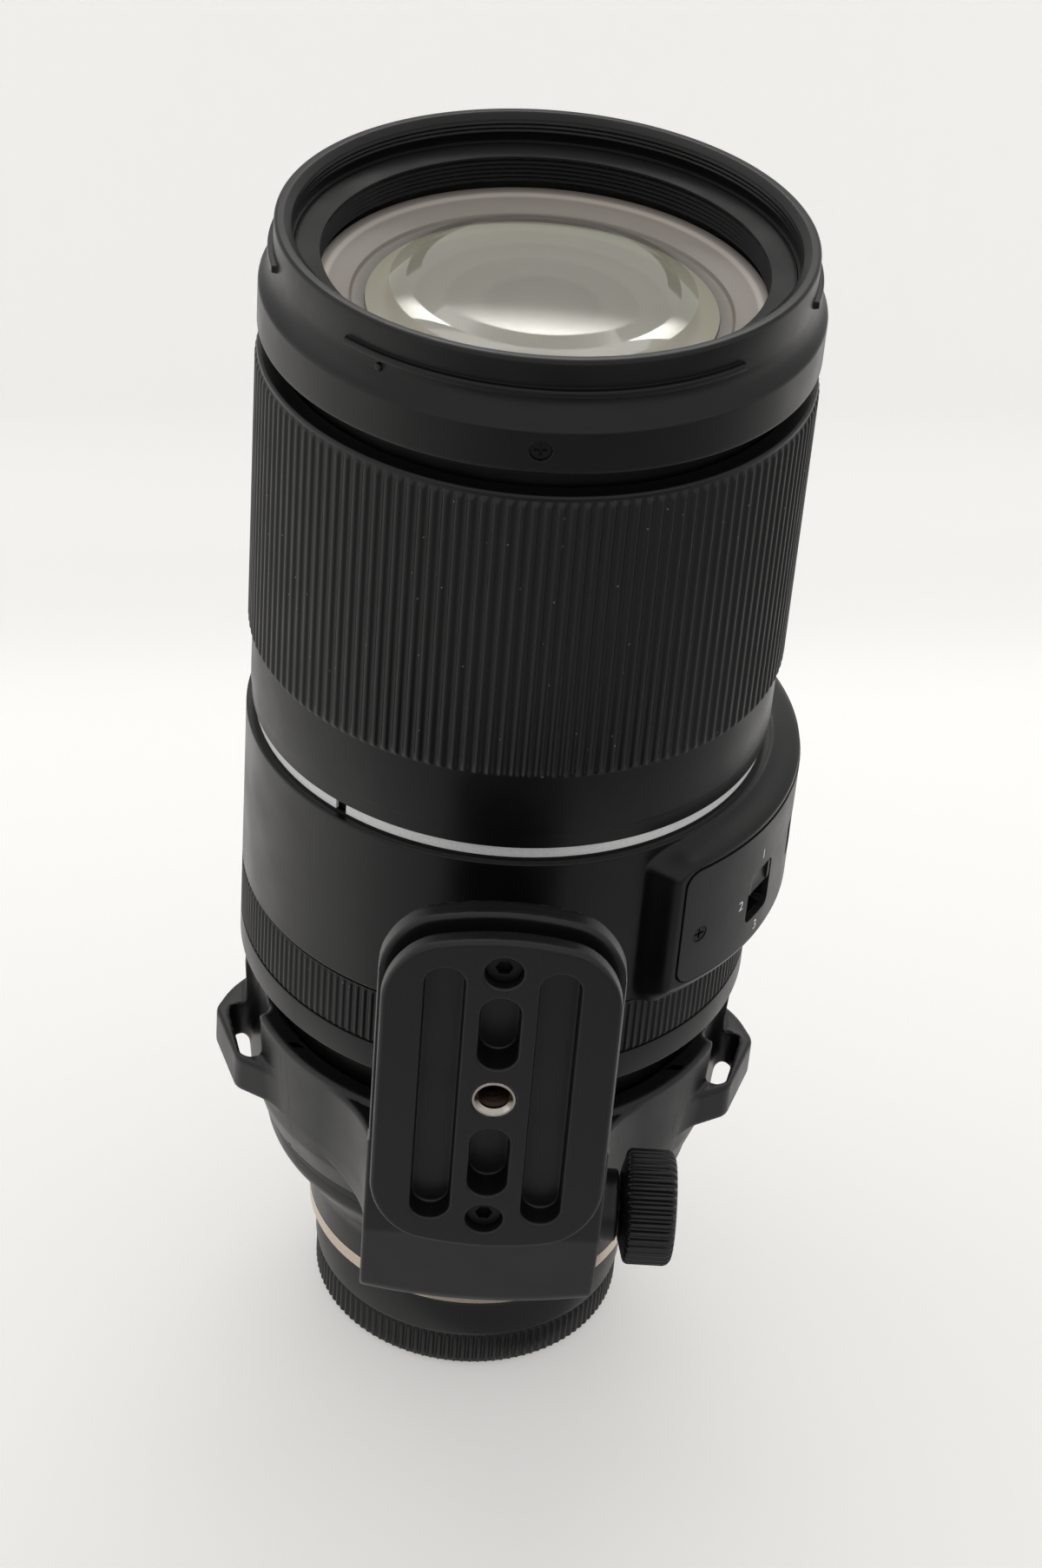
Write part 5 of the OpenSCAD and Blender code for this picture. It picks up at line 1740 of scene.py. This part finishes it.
@dataclass
class ClampKnob:
    """Ribbed clamp knob with its stud."""

    face_x: float = 24.5
    length: float = 9.6
    radius: float = 10.2
    depth: float = 0.75
    ribs: int = 38
    rib_points: int = 16
    rib_square: float = 1.6
    stud_r: float = 2.5
    y: float = -53.6
    z: float = 66.8

    def build(self, shop: Workshop) -> None:
        """Turns the knob about its stud; the ribs fade out over the rounded ends.

        Args:
            shop: Workshop that takes the pieces.
        """
        points = self.ribs * self.rib_points
        azimuth = np.arange(points) * 360 / points
        end = self.face_x + self.length
        # Distance along the stud, radius, and share of the rib depth
        rows = np.array(
            [
                (0.0, 0.0, 0.0),
                (0.0, self.stud_r, 0.0),
                (self.face_x, self.stud_r, 0.0),
                (self.face_x, 5.8, 0.0),
                (self.face_x + 0.1, 6.2, 0.0),
                (self.face_x + 0.9, 8.9, 0.0),
                (self.face_x + 0.96, 9.2, 0.3),
                (self.face_x + 1.1, 9.6, 0.7),
                (self.face_x + 1.4, 10.0, 0.95),
                (self.face_x + 1.8, self.radius, 1.0),
                (end - 1.4, self.radius, 1.0),
                (end - 0.7, 9.9, 0.9),
                (end - 0.2, 9.3, 0.6),
                (end, 8.6, 0.2),
                (end, 7.8, 0.0),
                (end - 0.4, 7.2, 0.0),
                (end - 0.4, 0.0, 0.0),
            ]
        )
        wave = 1 - rib_wave(azimuth, self.ribs, self.rib_square)
        radius = rows[:, 1:2] - self.depth * rows[:, 2:3] * wave[None, :]
        grid = spin(radius, rows[:, 0], azimuth, Axis.KNOB, (0, self.y, self.z))
        knob = grid_shell(grid, False, True)
        shop.add("clamp_knob_moulding", [knob], Body.KNOB, "knob_plastic", ["clamp_knob"])


@dataclass
class RearCap:
    """Rear cap with its ribbed grip."""

    height: float = 17.2
    outer_r: float = 30.1
    wall: float = 1.8
    floor: float = 2.0
    rib_low: float = 0.8
    rib_top: float = 7.8
    root_r: float = 29.2
    crest_r: float = 29.8
    ribs: int = 120
    rib_points: int = 12
    tab_z: float = 14.95
    tab_h: float = 0.7
    tab_in: float = 21.9
    tab_half: float = 25.0

    def build(self, shop: Workshop) -> None:
        """Turns the cup with its ribs, and adds the bayonet tabs inside it.

        Args:
            shop: Workshop that takes the pieces.
        """
        points = self.ribs * self.rib_points
        azimuth = np.arange(points) * 360 / points
        inner = self.outer_r - self.wall
        # Radius, height, and share of the rib height
        rows = np.array(
            [
                (0.0, 0.0, 0.0),
                (26.5, 0.0, 0.0),
                (28.1, 0.05, 0.0),
                (28.8, 0.35, 0.0),
                (self.root_r, self.rib_low, 0.0),
                (self.root_r, self.rib_low + 0.25, 0.7),
                (self.root_r, self.rib_low + 0.7, 1.0),
                (self.root_r, self.rib_top - 0.7, 1.0),
                (self.root_r, self.rib_top - 0.2, 0.8),
                (self.root_r, self.rib_top, 0.3),
                (29.6, self.rib_top + 0.4, 0.0),
                (29.95, self.rib_top + 0.9, 0.0),
                (self.outer_r, self.rib_top + 1.6, 0.0),
                (self.outer_r, self.height - 0.6, 0.0),
                (self.outer_r - 0.15, self.height - 0.2, 0.0),
                (self.outer_r - 0.5, self.height, 0.0),
                (self.outer_r - 0.7, self.height, 0.0),
                (inner, self.height - 2.4, 0.0),
                (inner, self.floor, 0.0),
                (0.0, self.floor, 0.0),
            ]
        )
        wave = rib_wave(azimuth, self.ribs, RIB_SQUARE)
        radius = rows[:, :1] + (self.crest_r - self.root_r) * rows[:, 2:3] * wave[None, :]
        shells = [grid_shell(spin(radius, rows[:, 1], azimuth), False, True)]
        shells += [self.tab(third, inner) for third in THIRDS]
        shop.add("rear_cap_moulding", shells, Body.CAP, "cap_plastic", ["rear_cap"])

    def tab(self, azimuth: float, inner: float) -> Shell:
        """One bayonet tab: a rectangle carried along an arc, closed at its ends.

        Args:
            azimuth: Azimuth of its middle.
            inner: Inner radius of the cup.

        Returns:
            The tab.
        """
        a = np.linspace(azimuth - self.tab_half, azimuth + self.tab_half, 26)
        a = np.concatenate([a[:1], a, a[-1:]])
        r = np.array([self.tab_in, inner + 0.2, inner + 0.2, self.tab_in])
        z = np.array([self.tab_z, self.tab_z, self.tab_z + self.tab_h, self.tab_z + self.tab_h])
        points = spin(r, z, a)
        points[:, 0] = points[:, 0].mean(0)
        points[:, -1] = points[:, -1].mean(0)
        return grid_shell(points, True, False)


# Camera, floor and light


LAMP_AIM = (0.0, 0.0, 0.15)


@dataclass(frozen=True)
class Softbox:
    """A soft lamp that is aimed at the lens.

    Attributes:
        name: Name of the lamp.
        at: Place in metres.
        size: Width and height in metres.
        watts: Power.
    """

    name: str
    at: tuple[float, float, float]
    size: tuple[float, float]
    watts: float

    def hang(self) -> None:
        """Puts the lamp into the scene."""
        light = bpy.data.lights.new(self.name, "AREA")
        light.shape = "RECTANGLE"
        light.size, light.size_y = self.size
        light.energy = self.watts
        lamp = link(self.name, light)
        lamp.location = self.at
        aim = Vector(LAMP_AIM) - Vector(self.at)
        lamp.rotation_euler = aim.to_track_quat("-Z", "Y").to_euler()


@dataclass
class Studio:
    """Pale sweep, soft light from above and behind, and the camera at the photograph's view."""

    camera_at: tuple[float, float, float] = (-0.0164, -0.4929, 0.4773)
    yaw: float = 2.27
    pitch: float = 36.065
    roll: float = 4.867
    lens: float = 77.92
    sensor: float = 36.0
    wall_foot: tuple[tuple[float, float], ...] = ((-0.1298, 0.2751), (0.1519, 0.3097))
    wall_h: float = 0.17
    cove: float = 0.03
    room_w: float = 3.0
    sheet_colour: str = "#dcdbd9"
    paper_light: str = "#fffdfa"
    room_light: str = "#fbfbfa"
    sheet_glow: tuple[float, float] = (0.285, 0.43)
    glow_from: tuple[float, float] = (-0.12, 0.27)
    room_front: float = 0.78
    room_back: float = 0.58
    lamps: tuple[Softbox, ...] = (
        Softbox("overhead_softbox", (-0.1, 0.3, 1.0), (1.0, 0.6), 1.3),
        Softbox("side_softbox", (-1.3, 0.1, 0.55), (1.0, 1.0), 1.2),
    )
    strip_at: tuple[float, float, float] = (0.02, 0.55, 0.68)
    strip_aim: tuple[float, float, float] = (0.0, 0.0, 0.22)
    strip_core: float = 0.1
    strip_half: tuple[float, float] = (0.45, 0.0825)
    strip_level: float = 6.5
    card_way: tuple[float, float] = (0.447, -0.894)
    card_reach: tuple[float, float] = (0.03, 0.9)
    card_side: tuple[float, float] = (-0.7, 0.8)
    card_z: float = 0.003
    card_fade: float = 0.42
    card_grey: tuple[float, float] = (0.8, 0.2)

    def build_camera(self) -> None:
        """Aims the camera: forward from yaw and pitch, then right and up turned by the roll."""
        yaw, pitch, roll = (math.radians(v) for v in (self.yaw, self.pitch, self.roll))
        forward = np.array(
            [math.sin(yaw) * math.cos(pitch), math.cos(yaw) * math.cos(pitch), -math.sin(pitch)]
        )
        level = np.array([math.cos(yaw), -math.sin(yaw), 0.0])
        up = np.cross(level, forward)
        right = math.cos(roll) * level + math.sin(roll) * up
        top = -math.sin(roll) * level + math.cos(roll) * up
        data = bpy.data.cameras.new("view")
        data.lens = self.lens
        data.sensor_width = self.sensor
        data.clip_start = 0.01
        camera = link("view", data)
        matrix = np.eye(4)
        matrix[:3, 0], matrix[:3, 1], matrix[:3, 2] = right, top, -forward
        matrix[:3, 3] = self.camera_at
        camera.matrix_world = Matrix(matrix.tolist())
        bpy.context.scene.camera = camera

    def flat_mesh(
        self, name: str, points: Array, faces: list[Sequence[int]], material: bpy.types.Material
    ) -> bpy.types.Object:
        """Makes a stage piece.

        Args:
            name: Name of the piece.
            points: Its corners in metres.
            faces: Corners of each face.
            material: Its material.

        Returns:
            The object.
        """
        mesh = bpy.data.meshes.new(name)
        mesh.from_pydata(points.tolist(), [], faces)
        mesh.materials.append(material)
        return link(name, mesh)

    def build_sheet(self) -> None:
        """Lays one pale sheet: the floor, a quarter-round cove and a low wall behind.

        The profile, which is the distance behind the wall's foot and the height, is carried along that foot.
        The paper's glow for what looks at it rises in a straight line from front to back, and its back is
        clear, so that the wall hides nothing from behind.
        """
        material, tree = new_tree("Matt white paper")
        ray = add_node(tree, "ShaderNodeLightPath")
        seen = ray.outputs["Is Camera Ray"]
        for kind in ("Is Glossy Ray", "Is Transmission Ray"):
            either = add_node(
                tree, "ShaderNodeMath", {"operation": "MAXIMUM"}, {0: seen, 1: ray.outputs[kind]}
            )
            seen = either.outputs[0]
        place = add_node(tree, "ShaderNodeTexCoord").outputs["Object"]
        back = add_node(tree, "ShaderNodeSeparateXYZ", inputs={"Vector": place}).outputs["Y"]
        level = add_node(
            tree,
            "ShaderNodeMapRange",
            inputs={
                "Value": back,
                "From Min": self.glow_from[0],
                "From Max": self.glow_from[1],
                "To Min": self.sheet_glow[0],
                "To Max": self.sheet_glow[1],
            },
        )
        glow = add_node(
            tree, "ShaderNodeMath", {"operation": "MULTIPLY"}, {0: seen, 1: level.outputs["Result"]}
        )
        shader = add_node(
            tree,
            "ShaderNodeBsdfPrincipled",
            inputs={
                "Base Color": linear(self.sheet_colour),
                "Roughness": 0.9,
                "Specular IOR Level": 0.1,
                "Emission Color": linear(self.paper_light),
                "Emission Strength": glow.outputs[0],
            },
        )
        behind_it = add_node(tree, "ShaderNodeNewGeometry").outputs["Backfacing"]
        clear = add_node(tree, "ShaderNodeBsdfTransparent").outputs["BSDF"]
        surface = add_node(
            tree, "ShaderNodeMixShader", inputs={0: behind_it, 1: shader.outputs["BSDF"], 2: clear}
        )
        add_node(tree, "ShaderNodeOutputMaterial", inputs={"Surface": surface.outputs["Shader"]})
        turn = np.linspace(0, np.pi / 2, 13)
        run = np.concatenate([[-self.room_w], self.cove * (np.sin(turn) - 1), [0.0]])
        up = np.concatenate([[0.0], self.cove * (1 - np.cos(turn)), [self.wall_h]])
        foot = np.array(self.wall_foot)
        along = foot[1] - foot[0]
        along = along / np.linalg.norm(along)
        behind = np.array([-along[1], along[0]])
        ends = foot.mean(0) + np.array([-1, 1])[:, None] * self.room_w * along
        flat = ends[None, :, :] + run[:, None, None] * behind
        points = np.concatenate([flat, np.repeat(up[:, None, None], 2, axis=1)], axis=2)
        shell = grid_shell(points, False, False)
        sheet = self.flat_mesh("paper_sheet", shell.points, shell.quads.tolist(), material)
        sheet.data.polygons.foreach_set("use_smooth", np.ones(len(shell.quads), bool))

    def build_card(self) -> None:
        """Lays a grey card that only reflections show, so that the room's dim end stays dark in the barrel.

        It starts in front of the lens and darkens in a straight line with the distance along its way, as the
        floor does towards the unlit side of a room.
        """
        material, tree = new_tree("Grey card")
        place = add_node(tree, "ShaderNodeTexCoord").outputs["Object"]
        far = add_node(
            tree, "ShaderNodeVectorMath", {"operation": "DOT_PRODUCT"}, {0: place, 1: (*self.card_way, 0.0)}
        )
        grey = add_node(
            tree,
            "ShaderNodeMapRange",
            inputs={
                "Value": far.outputs["Value"],
                "From Min": 0.0,
                "From Max": self.card_fade,
                "To Min": self.card_grey[0],
                "To Max": self.card_grey[1],
            },
        )
        shader = add_node(
            tree,
            "ShaderNodeBsdfPrincipled",
            inputs={"Base Color": grey.outputs["Result"], "Roughness": 0.9, "Specular IOR Level": 0.0},
        )
        add_node(tree, "ShaderNodeOutputMaterial", inputs={"Surface": shader.outputs["BSDF"]})
        way = np.array([*self.card_way, 0.0])
        side = np.array([-way[1], way[0], 0.0])
        near_far = np.array(self.card_reach)[:, None, None] * way
        points = near_far + np.array(self.card_side)[None, :, None] * side + np.array([0.0, 0.0, self.card_z])
        card = self.flat_mesh("grey_card", points.reshape(-1, 3), [(0, 1, 3, 2)], material)
        card.visible_camera = False
        card.visible_diffuse = False
        card.visible_shadow = False

    def build_strip(self) -> None:
        """Hangs a lit strip behind the lens, which fades to its lower edge and to both ends.

        It faces the front glass. Its level is the room's own plus the product of two smooth steps, one from
        its lower edge up over two thirds of its height, and one from its ends towards its middle.
        """
        material, tree = new_tree("Strip softbox cloth")
        place = add_node(tree, "ShaderNodeTexCoord").outputs["Object"]
        split = add_node(tree, "ShaderNodeSeparateXYZ", inputs={"Vector": place})
        level: object = self.strip_level
        away_x = add_node(tree, "ShaderNodeMath", {"operation": "ABSOLUTE"}, {0: split.outputs["X"]})
        for source, low, high in (
            (away_x.outputs[0], self.strip_half[0], self.strip_core),
            (split.outputs["Y"], -self.strip_half[1], self.strip_half[1] / 3),
        ):
            fade = add_node(
                tree,
                "ShaderNodeMapRange",
                {"interpolation_type": "SMOOTHSTEP"},
                {"Value": source, "From Min": low, "From Max": high, "To Min": 0.0, "To Max": 1.0},
            )
            level = add_node(
                tree, "ShaderNodeMath", {"operation": "MULTIPLY"}, {0: level, 1: fade.outputs["Result"]}
            ).outputs[0]
        total = add_node(tree, "ShaderNodeMath", {"operation": "ADD"}, {0: level, 1: self.room_back})
        shader = add_node(
            tree,
            "ShaderNodeEmission",
            inputs={"Color": linear(self.paper_light), "Strength": total.outputs[0]},
        )
        add_node(tree, "ShaderNodeOutputMaterial", inputs={"Surface": shader.outputs["Emission"]})
        corners = np.array([(-1, -1, 0), (1, -1, 0), (1, 1, 0), (-1, 1, 0)]) * np.array([*self.strip_half, 0])
        strip = self.flat_mesh("strip_softbox", corners, [(0, 1, 2, 3)], material)
        strip.visible_camera = False
        strip.location = self.strip_at
        facing = Vector(self.strip_aim) - Vector(self.strip_at)
        strip.rotation_euler = facing.to_track_quat("Z", "Y").to_euler()

    def build_light(self) -> None:
        """Sets a pale room that is dimmer in front of the lens than behind it, and hangs the lamps.

        The room's level goes from front to back in a straight line with the direction's share along Y.
        """
        scene = bpy.context.scene
        world = bpy.data.worlds.new("soft room")
        world.use_nodes = True
        tree = world.node_tree
        tree.nodes.clear()
        way = add_node(tree, "ShaderNodeTexCoord").outputs["Generated"]
        split = add_node(tree, "ShaderNodeSeparateXYZ", inputs={"Vector": way})
        level = add_node(
            tree,
            "ShaderNodeMapRange",
            inputs={
                "Value": split.outputs["Y"],
                "From Min": -1.0,
                "From Max": 1.0,
                "To Min": self.room_front,
                "To Max": self.room_back,
            },
        )
        sky = add_node(
            tree,
            "ShaderNodeBackground",
            inputs={"Color": linear(self.room_light), "Strength": level.outputs["Result"]},
        )
        add_node(tree, "ShaderNodeOutputWorld", inputs={"Surface": sky.outputs["Background"]})
        scene.world = world
        for lamp in self.lamps:
            lamp.hang()
        scene.view_settings.view_transform = "Standard"


def main() -> None:
    """Loads the frame, dresses it piece by piece and sets the studio up."""
    logging.basicConfig(level=logging.INFO, format="%(message)s")
    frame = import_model()
    studio = Studio()
    studio.build_camera()
    shop = Workshop(frame)
    shop.dress_nodes()
    front = FrontBarrel()
    front.build_ring(shop)
    front.build_trim(shop)
    front.build_glass(shop)
    for assembly in (
        ZoomRing(),
        MainBarrel(),
        SwitchMarks(),
        FocusRing(),
        TripodCollar(),
        TripodFoot(),
        ClampKnob(),
        RearBarrel(),
        RearCap(),
    ):
        assembly.build(shop)
    studio.build_sheet()
    studio.build_card()
    studio.build_strip()
    studio.build_light()


if __name__ == "__main__":
    main()
